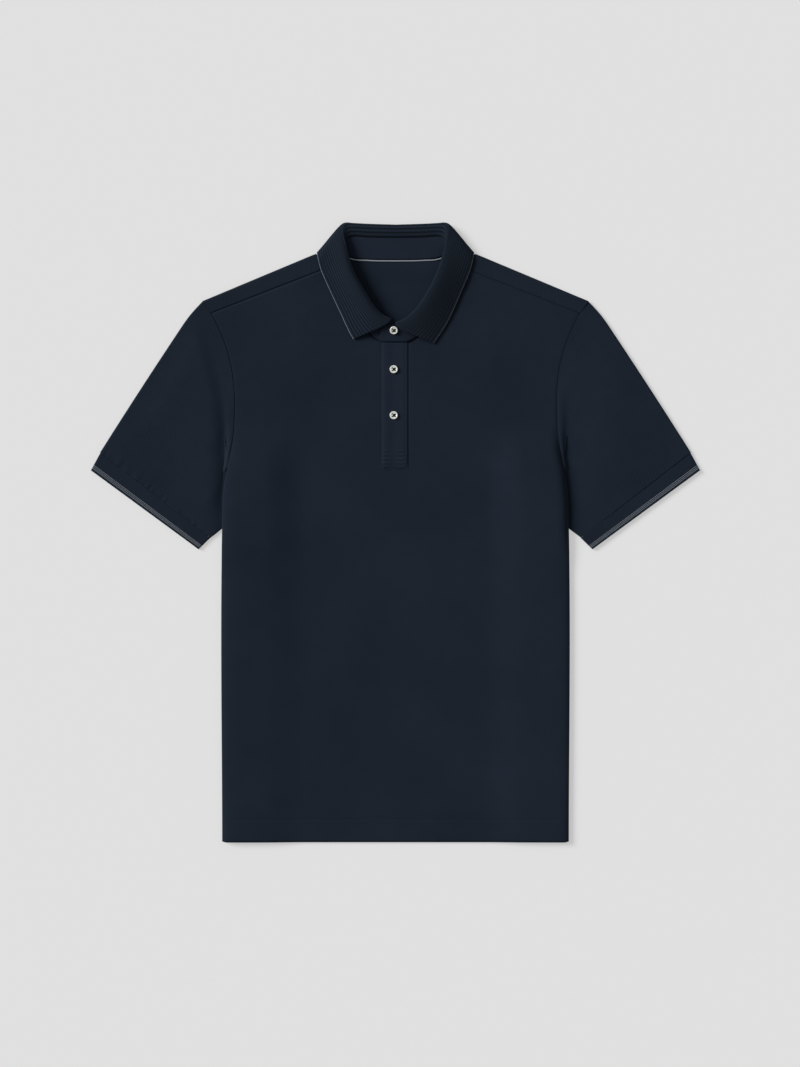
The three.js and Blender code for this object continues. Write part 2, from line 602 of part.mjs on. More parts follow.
const STAND_HOLLOW = 0.9;     // how far the band sags between its edges where it's steep
const STEEP = [2, 12];
const BELOW_LEAF = 0.6;
const LAP_FROM = 11.5;        // the station where one front end parts from the other
const LAP_OVER = 1.3;
const LAP_UNDER = -0.4;

function collarStand() {
  const section = (low, high) => steps(4).map((t) => {
    const p = low.clone().lerp(high, t);
    p.z -= STAND_HOLLOW * Math.sin(Math.PI * t) * smooth(...STEEP, high.z - low.z);
    return p;
  });
  const ring = (side) => STAND_STATIONS.map((station) => {
    const low = collarPoint('stand', station, side);
    const high = collarPoint('joint', station, side);
    low.y += side * leanAt(station);
    low.x -= shiftAt(station);
    low.z += (side > 0 ? LAP_OVER : LAP_UNDER) * smooth(LAP_FROM, STATIONS, station);
    high.z -= BELOW_LEAF;
    return section(low, high);
  });
  const end = (table) => table.map(({ low, high }) => section(at(...low), at(...high)));
  const rows = [...end(UNDER_END).reverse(), ...ring(-1).reverse(), ...ring(1).slice(1), ...end(OVER_END)];
  return thicken(join(patch(rows)), CLOTH);
}

// The piping follows the back neck seam, on top of it
const PIPING = { reach: 68, width: 1.4, height: 1.1, below: 0.6, steps: 20 };

function neckPiping() {
  const line = (offset) => steps(PIPING.steps).map((t) => {
    const x = mix(-PIPING.reach, PIPING.reach, t);
    const y = lookUp(BACK_NECK, 'x', 'y', Math.abs(x)) - PIPING.below;
    return at(x, y + offset, backHeight(x, y) + CLOTH / 2 + GAP + PIPING.height / 2);
  });
  return thicken(join(patch([line(-PIPING.width / 2), line(PIPING.width / 2)])), PIPING.height);
}

// Placket: a strip in the slot, and one over it that also laps the front all round
function strip(left, right, bottom, height) {
  const ys = [bottom, SLOT_BOTTOM_Y + GAP, mix(SLOT_BOTTOM_Y, SLOT_TOP_Y, 0.5), SLOT_TOP_Y - GAP];
  const xs = [left, mix(left, right, 0.5), right];
  const rows = ys.filter((y, i) => i === 0 || y > bottom).map((y) => xs.map((x) => at(x, y, height(x, y))));
  return thicken(join(patch(rows)), CLOTH);
}

const placketUnder = () => strip(GAP - SLOT_HALF, SLOT_HALF - GAP, SLOT_BOTTOM_Y + GAP, frontHeight);
const placketUpper = () => strip(PLACKET.left, PLACKET.right, PLACKET.bottom,
  (x, y) => frontHeight(x, y) + LAYER);

// A button: a turned disc with a rim round a shallow dish, and four holes cut through it
function toManifold(geometry) {
  const plain = geometry.clone();
  for (const name of Object.keys(plain.attributes)) {
    if (name !== 'position') plain.deleteAttribute(name);
  }
  const merged = mergeVertices(plain, 1e-4);
  return new wasm.Manifold(new wasm.Mesh({
    numProp: 3,
    vertProperties: Float32Array.from(merged.getAttribute('position').array),
    triVerts: Uint32Array.from(merged.getIndex().array),
  }));
}

function toGeometry(solid) {
  const { vertProperties, triVerts } = solid.getMesh();
  const geometry = new THREE.BufferGeometry();
  geometry.setAttribute('position', new THREE.BufferAttribute(Float32Array.from(vertProperties), 3));
  geometry.setIndex(new THREE.BufferAttribute(Uint32Array.from(triVerts), 1));
  return geometry;
}

function button() {
  const { radius, height, rim, dish, hole, spread } = BUTTON;
  const profile = [
    [0, 0], [radius - rim, 0], [radius, height * 0.4], [radius - 0.3 * rim, height * 0.85],
    [radius - 1.6 * rim, height], [dish, height - rim], [0, height - rim],
  ].map(([r, z]) => new THREE.Vector2(r, z));
  const [discSides, drillSides] = [24, 8];
  let disc = toManifold(new THREE.LatheGeometry(profile, discSides).rotateX(Math.PI / 2));
  for (const [i, j] of [[-1, -1], [-1, 1], [1, -1], [1, 1]]) {
    const drill = new THREE.CylinderGeometry(hole, hole, height * 3, drillSides).rotateX(Math.PI / 2);
    disc = disc.subtract(toManifold(drill.translate(i * spread, j * spread, 0)));
  }
  return toGeometry(disc);
}

// Colours and finishes
const finish = (color, roughness) => new THREE.MeshStandardMaterial({ color, roughness, metalness: 0 });
const knit = (color) => finish(color, 0.95);

const group = new THREE.Group();

function add(name, geometry, material) {
  const mesh = new THREE.Mesh(geometry, material);
  mesh.name = name;
  group.add(mesh);
  return mesh;
}

add('front_panel', frontPanel(), knit(0x1f2631));
add('back_panel', backPanel(), knit(0x1f2631));
add('sleeve_left', sleeve(1), knit(0x1f2631));
add('sleeve_right', sleeve(-1), knit(0x1f2631));
add('cuff_left', cuff(1), knit(0x252c37));
add('cuff_right', cuff(-1), knit(0x252c37));
add('collar_leaf', collarLeaf(), knit(0x1b2028));
add('collar_stand', collarStand(), knit(0x1c222c));
add('neck_piping', neckPiping(), knit(0x7c828a));
add('placket_under', placketUnder(), knit(0x1f2631));
add('placket_upper', placketUpper(), knit(0x212834));

BUTTON_YS.forEach((y, i) => {
  const mesh = add(`button_${i + 1}`, button(), finish(0xe1e4de, 0.35));
  const onStand = i === 0;
  const placketTop = frontHeight(BUTTON.x, y) + LAYER + CLOTH / 2 + GAP;
  mesh.position.set(BUTTON.x, y, onStand ? STAND_BUTTON_Z : placketTop);
  if (onStand) mesh.rotation.x = STAND_SLOPE;
});

export default group;
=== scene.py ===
# %% [markdown]
# A polo shirt, laid flat
#
# The shirt lies face up on a pale floor, buttoned, with the sides of its body folded
# under. Cloth that lies flat is a stack of thin sheets, so nearly every piece here is
# one surface, worked out as a height over the floor, which is then given its thickness.
# A simulation could settle the cloth, but a pressed and folded shirt is laid by hand,
# and formulas keep each sheet exactly above the one that it lies on.
#
# All sizes are in millimetres until a mesh is made. X points to the right of the
# picture, Y towards the collar, and Z up from the floor.

import bpy
import numpy as np
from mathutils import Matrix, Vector


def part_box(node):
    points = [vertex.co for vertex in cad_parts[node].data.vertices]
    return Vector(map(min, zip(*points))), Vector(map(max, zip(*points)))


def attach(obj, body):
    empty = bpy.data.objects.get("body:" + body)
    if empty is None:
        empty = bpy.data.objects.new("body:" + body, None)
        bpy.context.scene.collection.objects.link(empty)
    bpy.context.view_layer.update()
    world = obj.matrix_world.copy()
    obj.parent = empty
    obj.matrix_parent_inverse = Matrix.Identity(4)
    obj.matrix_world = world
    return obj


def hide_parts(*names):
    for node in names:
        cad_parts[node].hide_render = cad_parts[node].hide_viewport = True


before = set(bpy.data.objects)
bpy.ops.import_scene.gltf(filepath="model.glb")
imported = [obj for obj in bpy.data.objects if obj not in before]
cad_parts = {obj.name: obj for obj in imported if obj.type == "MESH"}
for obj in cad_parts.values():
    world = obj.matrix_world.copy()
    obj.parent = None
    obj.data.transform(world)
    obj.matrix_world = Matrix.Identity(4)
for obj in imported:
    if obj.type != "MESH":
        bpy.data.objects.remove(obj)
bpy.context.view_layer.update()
MM = 0.001

# %% [markdown]
# The camera comes first, so that each piece can be looked at as soon as it is made. The
# photograph was taken from straight above. A long lens from 3.2 m up keeps the heights
# of the cloth from shifting it sideways. The lens is worked out from the stretch of
# floor that the picture takes in.

# %% Camera
PICTURE_HEIGHT = 1280.4
PICTURE_MIDDLE = (5.4, -1.2)
CAMERA_HEIGHT = 3200.0

camera_data = bpy.data.cameras.new("camera")
camera_data.sensor_width = 36.0
camera_data.lens = 36.0 * CAMERA_HEIGHT / PICTURE_HEIGHT
camera = bpy.data.objects.new("camera", camera_data)
camera.location = (PICTURE_MIDDLE[0] * MM, PICTURE_MIDDLE[1] * MM, CAMERA_HEIGHT * MM)
bpy.context.scene.collection.objects.link(camera)
bpy.context.scene.camera = camera
print("camera lens", round(camera_data.lens, 1), "mm")

# %% [markdown]
# The light in the photograph is soft, low and comes from the upper left: the left edges
# of the cloth are lighter, the collar throws its own right half into shade, and a short
# shadow lies to the right of the shirt and below it. A wide sun gives that evenly over
# the whole floor, where an area lamp would leave one corner brighter. The sky only fills
# the shadows. The shadows on the floor are much weaker than those on the cloth, as on a
# light table, so half of the floor's brightness is its own glow.

# %% Light and floor
SKY = 0.34
SUN = 4.13
SUN_FROM = (-0.8, 0.34, 0.5)
FLOOR_PAINT, FLOOR_GLOW = 0.29, 0.455

world = bpy.data.worlds.new("studio")
world.use_nodes = True
world.node_tree.nodes["Background"].inputs["Color"].default_value = (1, 1, 1, 1)
world.node_tree.nodes["Background"].inputs["Strength"].default_value = SKY
bpy.context.scene.world = world

sun_data = bpy.data.lights.new("window", "SUN")
sun_data.energy = SUN
sun_data.angle = np.radians(26)
sun = bpy.data.objects.new("window", sun_data)
sun.rotation_euler = Vector(SUN_FROM).to_track_quat("Z", "Y").to_euler()
bpy.context.scene.collection.objects.link(sun)
bpy.context.scene.view_settings.view_transform = "Standard"

floor_mesh = bpy.data.meshes.new("floor")
floor_mesh.from_pydata([(-4, -4, 0), (4, -4, 0), (4, 4, 0), (-4, 4, 0)], [], [(0, 1, 2, 3)])
floor = bpy.data.objects.new("floor", floor_mesh)
floor.location.z = -0.0004
bpy.context.scene.collection.objects.link(floor)
floor_paint = bpy.data.materials.new("pale floor")
floor_paint.use_nodes = True
floor_shader = floor_paint.node_tree.nodes["Principled BSDF"]
floor_shader.inputs["Base Color"].default_value = (FLOOR_PAINT, FLOOR_PAINT, FLOOR_PAINT, 1)
floor_shader.inputs["Emission Color"].default_value = (1, 1, 1, 1)
floor_shader.inputs["Emission Strength"].default_value = FLOOR_GLOW
floor_shader.inputs["Roughness"].default_value = 0.9
floor_shader.inputs["Specular IOR Level"].default_value = 0.1
floor_mesh.materials.append(floor_paint)
print("floor and light are in place")

# %% [markdown]
# A few small formulas serve every piece: steps that start and end softly, straight
# mixes, smooth lines through a short table of measurements, and arrays of points.
# Tables with smooth lines through them need far fewer numbers than an outline drawn
# point by point.

# %% Formulas that every piece uses
def smooth(low, high, value):
    """0 below low, 1 above high, and 3t^2 - 2t^3 of the share t of the way between."""
    t = np.clip((value - low) / (high - low), 0, 1)
    return t * t * (3 - 2 * t)


def mix(a, b, t):
    """a where t is 0, b where t is 1, and a straight line between."""
    return a + (b - a) * t


def table_line(keys, values, at):
    """A smooth line through a table: between two rows it is a cubic whose slope at each
    row is that of its neighbours, and past the ends it is level."""
    keys, values = np.asarray(keys, float), np.asarray(values, float)
    slope = np.gradient(values, keys)
    row = np.clip(np.searchsorted(keys, at) - 1, 0, len(keys) - 2)
    span = keys[row + 1] - keys[row]
    t = np.clip((at - keys[row]) / span, 0, 1)
    start = (2 * t**3 - 3 * t**2 + 1) * values[row] + (t**3 - 2 * t**2 + t) * span * slope[row]
    end = (3 * t**2 - 2 * t**3) * values[row + 1] + (t**3 - t**2) * span * slope[row + 1]
    return start + end


def stack(*parts):
    """Arrays of x, y and z, spread to one shape, as an array of points."""
    return np.stack(np.broadcast_arrays(*[np.asarray(p, float) for p in parts]), -1)


def unit(vectors):
    """Each vector made one long."""
    return vectors / np.linalg.norm(vectors, axis=-1, keepdims=True)


print("half way of a soft step:", smooth(0, 1, 0.5))

# %% [markdown]
# A piece of cloth starts as one or more grids of points. Where two grids meet, their
# points become one, so that the sheet is whole. Then each point moves half the
# thickness along its normal, once to each side, and a wall closes every open edge. A
# Solidify modifier does nearly the same, but here the ribs of the knit have to rise on
# the outer face alone, and nothing may sink into the floor.

# %% From grids to cloth
def patch(points, measure, relief=0.0):
    """A grid of points with the cloth's own two measures at each, and its relief."""
    rows, columns = points.shape[:2]
    return {
        "points": points.reshape(-1, 3),
        "measure": np.broadcast_to(measure, (rows, columns, 2)).reshape(-1, 2),
        "relief": np.broadcast_to(relief, (rows, columns)).reshape(-1),
        "index": np.arange(rows * columns).reshape(rows, columns),
    }


def joined(patches):
    """One sheet of several grids. Each cell is a quad, and points at one place are one."""
    start = np.cumsum([0] + [len(p["points"]) for p in patches])
    quads = []
    for p, offset in zip(patches, start):
        i = p["index"] + offset
        quads.append(np.stack([i[:-1, :-1], i[:-1, 1:], i[1:, 1:], i[1:, :-1]], -1).reshape(-1, 4))
    points = np.concatenate([p["points"] for p in patches])
    place = np.round(points * 400 + 0.13).astype(np.int64)
    _, first, where = np.unique(place, axis=0, return_index=True, return_inverse=True)
    return {
        "points": points[first],
        "measure": np.concatenate([p["measure"] for p in patches])[first],
        "relief": np.concatenate([p["relief"] for p in patches])[first],
        "quads": where.reshape(-1)[np.concatenate(quads)],
    }


def normals(points, quads):
    """At each point, the sum of its quads' normals (the cross product of a quad's
    diagonals, so that a larger quad counts for more), made one long."""
    a, b, c, d = (points[quads[:, k]] for k in range(4))
    face = np.cross(c - a, d - b)
    total = np.zeros_like(points)
    for k in range(4):
        np.add.at(total, quads[:, k], face)
    return total / np.maximum(np.linalg.norm(total, axis=1, keepdims=True), 1e-12)


def thickened(sheet, thickness):
    """The sheet with its wall: the outer face moved half the thickness and its relief
    along the normals, the inner face half the thickness back, and a wall between them
    along every edge that only one quad has."""
    points, quads = sheet["points"], sheet["quads"]
    normal = normals(points, quads)
    count = len(points)
    outer = points + normal * (thickness / 2 + sheet["relief"])[:, None]
    inner = points - normal * thickness / 2
    both = np.concatenate([outer, inner])
    both[:, 2] = np.maximum(both[:, 2], 0)
    sides = np.concatenate([quads[:, [k, (k + 1) % 4]] for k in range(4)])
    forward = sides[:, 0] * count + sides[:, 1]
    backward = sides[:, 1] * count + sides[:, 0]
    edge = sides[~np.isin(forward, backward)]
    wall = np.stack([edge[:, 1], edge[:, 0], edge[:, 0] + count, edge[:, 1] + count], -1)
    faces = np.concatenate([quads, quads[:, ::-1] + count, wall])
    return both, faces, np.concatenate([sheet["measure"]] * 2)


def new_piece(name, points, faces, measure, material):
    """A mesh object from whole arrays: points in millimetres, faces of one size, and the
    cloth's measures as a UV map in metres."""
    mesh = bpy.data.meshes.new(name)
    sides = faces.shape[1]
    mesh.vertices.add(len(points))
    mesh.vertices.foreach_set("co", (points * MM).astype(np.float32).ravel())
    mesh.loops.add(faces.size)
    mesh.loops.foreach_set("vertex_index", faces.astype(np.int32).ravel())
    mesh.polygons.add(len(faces))
    mesh.polygons.foreach_set("loop_start", np.arange(0, faces.size, sides, dtype=np.int32))
    mesh.update(calc_edges=True)
    mesh.polygons.foreach_set("use_smooth", np.ones(len(faces), bool))
    cloth_map = mesh.uv_layers.new(name="cloth")
    cloth_map.data.foreach_set("uv", (measure[faces.ravel()] * MM).astype(np.float32).ravel())
    mesh.materials.append(material)
    piece = bpy.data.objects.new(name, mesh)
    bpy.context.scene.collection.objects.link(piece)
    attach(piece, "root")
    print(name, len(faces), "faces")
    return piece


def cloth_piece(name, patches, thickness, material, node):
    """A finished sheet that stands for a CAD node, in the material that it is given, with the node's own part hidden.
    """
    piece = new_piece(name, *thickened(joined(patches), thickness), material)
    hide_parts(node)
    return piece


# %% [markdown]
# Knit cloth has three scales of detail. The stitches are about a millimetre and show as
# a fine grain, so they are a bump and a slight change of shade. The yarn's fuzz is finer
# still. The dye and the press of the cloth change slowly over a hand's width. Each is a
# node group that several materials share, and each reads the cloth's own measures, so
# that the stitches follow a sleeve or a collar and don't slide.

# %% Node helpers and shared groups
def add_node(tree, kind, inputs=(), **settings):
    """A node with its settings, and its inputs as constants or links."""
    made = tree.nodes.new(kind)
    for name, value in settings.items():
        setattr(made, name, value)
    for name, value in dict(inputs).items():
        if isinstance(value, bpy.types.NodeSocket):
            tree.links.new(value, made.inputs[name])
        else:
            made.inputs[name].default_value = value
    return made


def calculate(tree, operation, a, b=0.0, c=0.0):
    """One sum on values."""
    return add_node(tree, "ShaderNodeMath", {0: a, 1: b, 2: c}, operation=operation).outputs[0]


def new_group(name, inputs, outputs):
    """An empty node group with named sockets, and its two end nodes."""
    tree = bpy.data.node_groups.new(name, "ShaderNodeTree")
    for socket, kind, value in inputs:
        made = tree.interface.new_socket(socket, in_out="INPUT", socket_type="NodeSocket" + kind)
        if value is not None:
            made.default_value = value
    for socket, kind in outputs:
        tree.interface.new_socket(socket, in_out="OUTPUT", socket_type="NodeSocket" + kind)
    return tree, tree.nodes.new("NodeGroupInput").outputs, tree.nodes.new("NodeGroupOutput").inputs


def pique_group():
    """Pique: a raised net with small pits in offset rows. A pit is where the product of a
    sine across and a sine along is high. A fine noise on the net is the yarn."""
    tree, start, end = new_group(
        "pique stitches",
        [("Place", "Vector", None), ("Cell", "Float", 1.5), ("Yarn", "Float", 0.5)],
        [("Height", "Float"), ("Shade", "Float")],
    )
    turns = calculate(tree, "DIVIDE", 2 * np.pi * 1000, start["Cell"])
    split = add_node(tree, "ShaderNodeSeparateXYZ", {0: start["Place"]}).outputs
    across = calculate(tree, "SINE", calculate(tree, "MULTIPLY", split["X"], turns))
    along = calculate(tree, "SINE", calculate(tree, "MULTIPLY", split["Y"], turns))
    cells = calculate(tree, "MULTIPLY", across, along)
    net = add_node(
        tree,
        "ShaderNodeMapRange",
        {"Value": cells, "From Min": 0.15, "From Max": 0.9, "To Min": 1.0, "To Max": 0.0},
        interpolation_type="SMOOTHSTEP",
    ).outputs[0]
    noise = add_node(tree, "ShaderNodeTexNoise", {"Vector": start["Place"], "Scale": 2600, "Detail": 2})
    yarn = calculate(tree, "MULTIPLY", calculate(tree, "SUBTRACT", noise.outputs[0], 0.5), start["Yarn"])
    tree.links.new(calculate(tree, "ADD", net, yarn), end["Height"])
    tree.links.new(net, end["Shade"])
    return tree


def dye_group():
    """The slow change of shade in dyed and pressed cloth: two noises, one a hand's width
    and one a finger's, as a mask from 0 to 1."""
    tree, start, end = new_group("dye and press", [("Place", "Vector", None)], [("Mask", "Float")])
    wide = add_node(tree, "ShaderNodeTexNoise", {"Vector": start["Place"], "Scale": 9, "Detail": 2})
    near = add_node(tree, "ShaderNodeTexNoise", {"Vector": start["Place"], "Scale": 70, "Detail": 3})
    total = calculate(tree, "MULTIPLY_ADD", near.outputs[0], 0.35, wide.outputs[0])
    mask = add_node(tree, "ShaderNodeMapRange", {"Value": total, "From Min": 0.4, "From Max": 0.95})
    tree.links.new(mask.outputs[0], end["Mask"])
    return tree


def line_group():
    """A thin knitted line: 1 where the distance is within half its width of its place,
    with soft edges."""
    tree, start, end = new_group(
        "knitted line",
        [("Distance", "Float", 0.0), ("Place", "Float", 0.0), ("Width", "Float", 1.0)],
        [("Mask", "Float")],
    )
    away = calculate(tree, "ABSOLUTE", calculate(tree, "SUBTRACT", start["Distance"], start["Place"]))
    half = calculate(tree, "MULTIPLY", start["Width"], 0.5)
    soft = calculate(tree, "MULTIPLY", start["Width"], 0.8)
    mask = add_node(
        tree,
        "ShaderNodeMapRange",
        {"Value": away, "From Min": half, "From Max": soft, "To Min": 1.0, "To Max": 0.0},
        interpolation_type="SMOOTHSTEP",
    )
    tree.links.new(mask.outputs[0], end["Mask"])
    return tree


PIQUE, DYE, LINE = pique_group(), dye_group(), line_group()
print("groups", PIQUE.name, DYE.name, LINE.name)

# %% [markdown]
# The body cloth is a dark navy pique. It is matt, with the faint light edge that fuzz
# gives where the cloth turns away, which is what sheen does. A plain gloss would grey
# the dark blue all over, so the specular level is low.

# %% Cloth materials
def shade(red, green, blue):
    """A colour as seen in the picture, 0 to 255, as the light that it stands for."""
    value = np.array([red, green, blue]) / 255
    linear = np.where(value <= 0.04045, value / 12.92, ((value + 0.055) / 1.055) ** 2.4)
    return (*linear, 1.0)


def mixed(tree, factor, a, b):
    """One colour over another by a mask."""
    made = add_node(tree, "ShaderNodeMix", {"Factor": factor}, data_type="RGBA")
    for socket, value in ((made.inputs[6], a), (made.inputs[7], b)):
        if isinstance(value, bpy.types.NodeSocket):
            tree.links.new(value, socket)
        else:
            socket.default_value = value
    return made.outputs[2]


def cloth_material(name, dark, light, cell=2.2, bump=0.2, lines=(), ribs=None):
    """Knit cloth: dye and stitches change the shade, and the stitches raise a bump. lines
    are (place, width, colour) measured from the edge where the second measure is 0. ribs
    are (pitch, colour of the painted shade in the furrows), counted from the same edge:
    the furrows are painted darker, for the shade that falls into them."""
    material = bpy.data.materials.new(name)
    material.use_nodes = True
    tree = material.node_tree
    shader = tree.nodes["Principled BSDF"]
    place = add_node(tree, "ShaderNodeUVMap", uv_map="cloth").outputs[0]
    knit = add_node(tree, "ShaderNodeGroup", node_tree=PIQUE)
    dye = add_node(tree, "ShaderNodeGroup", node_tree=DYE)
    tree.links.new(place, knit.inputs["Place"])
    tree.links.new(place, dye.inputs["Place"])
    knit.inputs["Cell"].default_value = cell
    patchy = calculate(tree, "MULTIPLY", dye.outputs["Mask"], 0.4)
    grain = calculate(tree, "MULTIPLY_ADD", knit.outputs["Shade"], 0.6, patchy)
    colour = mixed(tree, grain, dark, light)
    distance = calculate(tree, "MULTIPLY", add_node(tree, "ShaderNodeSeparateXYZ", {0: place}).outputs["Y"], 1000)
    # Painted shade: the rib furrows are darkened in the base colour, for the shade that falls into them.
    if ribs:
        turns = calculate(tree, "MULTIPLY", distance, np.pi / ribs[0])
        crest = calculate(tree, "POWER", calculate(tree, "ABSOLUTE", calculate(tree, "SINE", turns)), 1.5)
        colour = mixed(tree, crest, ribs[1], colour)
    if lines:
        for where, width, line_colour in lines:
            line = add_node(tree, "ShaderNodeGroup", node_tree=LINE)
            tree.links.new(distance, line.inputs["Distance"])
            line.inputs["Place"].default_value = where
            line.inputs["Width"].default_value = width
            colour = mixed(tree, line.outputs["Mask"], colour, line_colour)
    tree.links.new(colour, shader.inputs["Base Color"])
    raised = add_node(tree, "ShaderNodeBump", {"Height": knit.outputs["Height"], "Strength": 1.0, "Distance": bump * MM})
    tree.links.new(raised.outputs[0], shader.inputs["Normal"])
    shader.inputs["Roughness"].default_value = 0.88
    shader.inputs["Specular IOR Level"].default_value = 0.04
    shader.inputs["Sheen Weight"].default_value = 0.04
    shader.inputs["Sheen Roughness"].default_value = 0.45
    shader.inputs["Sheen Tint"].default_value = (0.62, 0.75, 1.0, 1)
    return material


body_knit = cloth_material("navy pique", shade(17, 24, 33), shade(30, 38, 49))
placket_knit = cloth_material("navy jersey", shade(22, 29, 39), shade(32, 39, 51), cell=0.9, bump=0.08)
EDGE_GREY = shade(88, 96, 106)
# The collar rib's furrow colour is painted shade in the furrows.
leaf_knit = cloth_material(
    "collar rib", shade(25, 32, 42), shade(34, 42, 53), cell=0.8, bump=0.1,
    lines=[(0.15, 0.42, shade(112, 120, 130))], ribs=(45 / 14, shade(15, 20, 27)),
)
CUFF_LINES = [(d, 0.34, shade(130, 136, 144)) for d in (3.3, 5.15, 7.0)]
cuff_knit = cloth_material(
    "cuff rib", shade(20, 27, 36), shade(30, 37, 48), cell=0.8, bump=0.1, lines=CUFF_LINES
)
piping_knit = cloth_material("grey piping", shade(112, 118, 126), shade(142, 148, 156), cell=0.8, bump=0.1)
print("cloth materials made")

# %% [markdown]
# The body's outline and heights come from the shirt's own measures. Its half width is
# the side fold low down and the armhole seam above it. Near a side the folded flaps lie
# under the back panel, so everything above rises by their thickness, and the fold itself
# stands a little prouder, as a rolled edge of knit does.

# %% Measures of the body
CLOTH = 1.0
GAP = 0.3
LAYER = CLOTH + GAP
SEAM = GAP / 2
RIB_CLOTH = 1.2
HEM_Y = -371.4
BLOCK_Y = 76.0
SIDE_SEAM_X = 157.0
UNDERARM_Y = -5.0
FLAP_TOP_Y = 66.0
SIDE_ROLL = 1.95
BODY_EDGE_Y = [-380, 4, 39, 60, 76, 86, 112, 142, 170, 195, 220, 248, 262.7, 275.4]
BODY_EDGE_X = [207.8, 207.8, 207, 205.2, 203.2, 200.6, 195.4, 193.4, 193.6, 196.5, 202.5, 213.6, 221.5, 230.4]
NECKLINE_Y = [228, 229.4, 232.2, 236.6, 243.3, 265, 290, 322]
NECKLINE_X = [14, 19.5, 24.5, 29.4, 36, 48.8, 60.2, 69]
BACK_NECK_X = [0, 32, 53, 66, 76]
BACK_NECK_Y = [326, 326.6, 328.6, 334.5, 341.8]
SHOULDER_X = [76, 91, 93, 94.5, 99, 104, 117, 230.4]
SHOULDER_Y = [337.2, 330.2, 332.2, 334.3, 332.6, 330.6, 325.2, 277.8]
SEAM_NECK = np.array([69, 322.0])
SEAM_ARM = np.array([221.5, 262.7])
SLOT_HALF = 14.0
SLOT_BOTTOM_Y = 102.0
SLOT_TOP_Y = 228.0
SHOULDER_POINT_Y = 275.4
SHOULDER_NORMAL = np.array([0.385, 0.923])


def body_edge(y):
    """Half the width of the body as it shows, at height y up the shirt."""
    return table_line(BODY_EDGE_Y, BODY_EDGE_X, y)


def roll_start(y):
    """Where the flat front ends and its side fold begins to turn down."""
    return body_edge(y) - CLOTH / 2 - SIDE_ROLL


def armhole_fade(y):
    """1 below the armholes, fading to 0 above them, where no flap is folded under."""
    return 1 - smooth(BLOCK_Y, 140, y)


def side_bulge(x, y):
    """The rolled side: from the fold the cloth rises in a soft curve, is highest a little
    way in and sinks back. The left one is rounder than the right one, whose last few
    millimetres fall away beside the underarm."""
    inward = roll_start(y) + CLOTH / 2 - np.abs(x)
    height, rise = np.where(x < 0, 2.0, 1.6 + 2.4 * smooth(-30, 30, y)), np.where(x < 0, 19.0, 8.0)
    round_side = np.sqrt(1 - (1 - np.clip(inward / rise, 0, 1)) ** 2)
    bulge = height * round_side * np.exp(-((np.maximum(inward - rise, 0) / 55) ** 2))
    fall = np.where(x < 0, 0.0, 1.6) * np.exp(-((inward / 3.5) ** 2)) * smooth(-40, 10, y)
    return (bulge - fall) * armhole_fade(y)


def back_height(x, y):
    """The back panel's middle: half a cloth over the floor, more over the flaps and the
    sleeves that lie under them, over the collar leaf, and in the rolled sides."""
    flaps = smooth(108, 156, np.abs(x)) * 2 * LAYER * armhole_fade(y) * (1 + smooth(-50, -8, y))
    collar = 1.7 * smooth(298, 318, y) * (1 - smooth(96, 120, np.abs(x)))
    return CLOTH / 2 + flaps + side_bulge(x, y) + collar


def front_height(x, y):
    """The front panel's middle: one layer over the back's, and a little air."""
    chest = 0.9 * smooth(70, 120, np.abs(x)) * smooth(80, 120, y)
    return back_height(x, y) + LAYER + chest + 0.6 * smooth(250, 300, y) + creases(x, y)


# %% [markdown]
# Even a pressed shirt has soft creases. Each is a shallow trough or ridge along a short
# line: across the line it is bell shaped, and along it the ends fade away. They are
# placed where the knit would pull: from the underarms, beside the placket and
# over the belly, each with its own length, width and depth.

# %% Creases of the front
CREASES = np.array([
    # x0, y0, x1, y1, half width, height
    [-150, 60, -60, 20, 16, -0.45],
    [-165, 20, -110, -60, 14, 0.4],
    [150, 66, 70, 10, 18, -0.5],
    [168, 10, 120, -90, 15, 0.4],
    [-40, -60, 60, -90, 22, -0.4],
    [-120, -160, -20, -185, 20, 0.35],
    [30, -210, 140, -190, 24, -0.4],
    [-90, -280, 20, -300, 22, 0.3],
    [-60, 190, -120, 150, 16, -0.4],
    [70, 180, 130, 215, 17, 0.35],
    [-100, 260, -150, 235, 12, -0.3],
    [110, 262, 160, 232, 13, -0.3],
    [8, 60, 6, -190, 5, -0.22],
])


def creases(x, y):
    """The sum over the creases of height * exp(-(distance / half width)^2), where the
    distance is to the crease's line and its height fades to nothing at both ends."""
    total = np.zeros(np.broadcast(x, y).shape)
    for x0, y0, x1, y1, width, height in CREASES:
        along = np.array([x1 - x0, y1 - y0])
        length = np.hypot(*along)
        along = along / length
        run = (x - x0) * along[0] + (y - y0) * along[1]
        off = (x - x0) * -along[1] + (y - y0) * along[0]
        ends = smooth(-0.1, 0.35, run / length) * (1 - smooth(0.65, 1.1, run / length))
        total = total + height * np.exp(-((off / width) ** 2)) * ends
    clear = smooth(17, 30, np.abs(x)) + smooth(50, 70, 120 - y)
    return total * np.clip(clear, 0, 1) * (1 - smooth(235, 262, y))


# %% [markdown]
# Front and back share the shape of their lower part: across from one hidden side seam,
# round the side fold, over the body, round the other fold and back under. Only the
# radius of the roll and the height differ, so one function makes both.

# %% Lower part of both panels
STEPS_ACROSS = np.unique(np.concatenate([
    np.linspace(0, 1, 49), [0.4755, 0.4815, 0.4865, 0.4915, 0.496], [0.988, 0.994, 0.998]]))
STEPS_ROLL = np.linspace(0, np.pi, 13)[1:]
STEPS_FLAP = np.linspace(0, 1, 13)[1:]
HEM_SEWN_Y = -343.7
STEPS_UP = np.unique(np.concatenate([
    np.linspace(0, 1, 113), (HEM_SEWN_Y + np.linspace(-4, 4, 9) - HEM_Y) / (BLOCK_Y - HEM_Y)]))


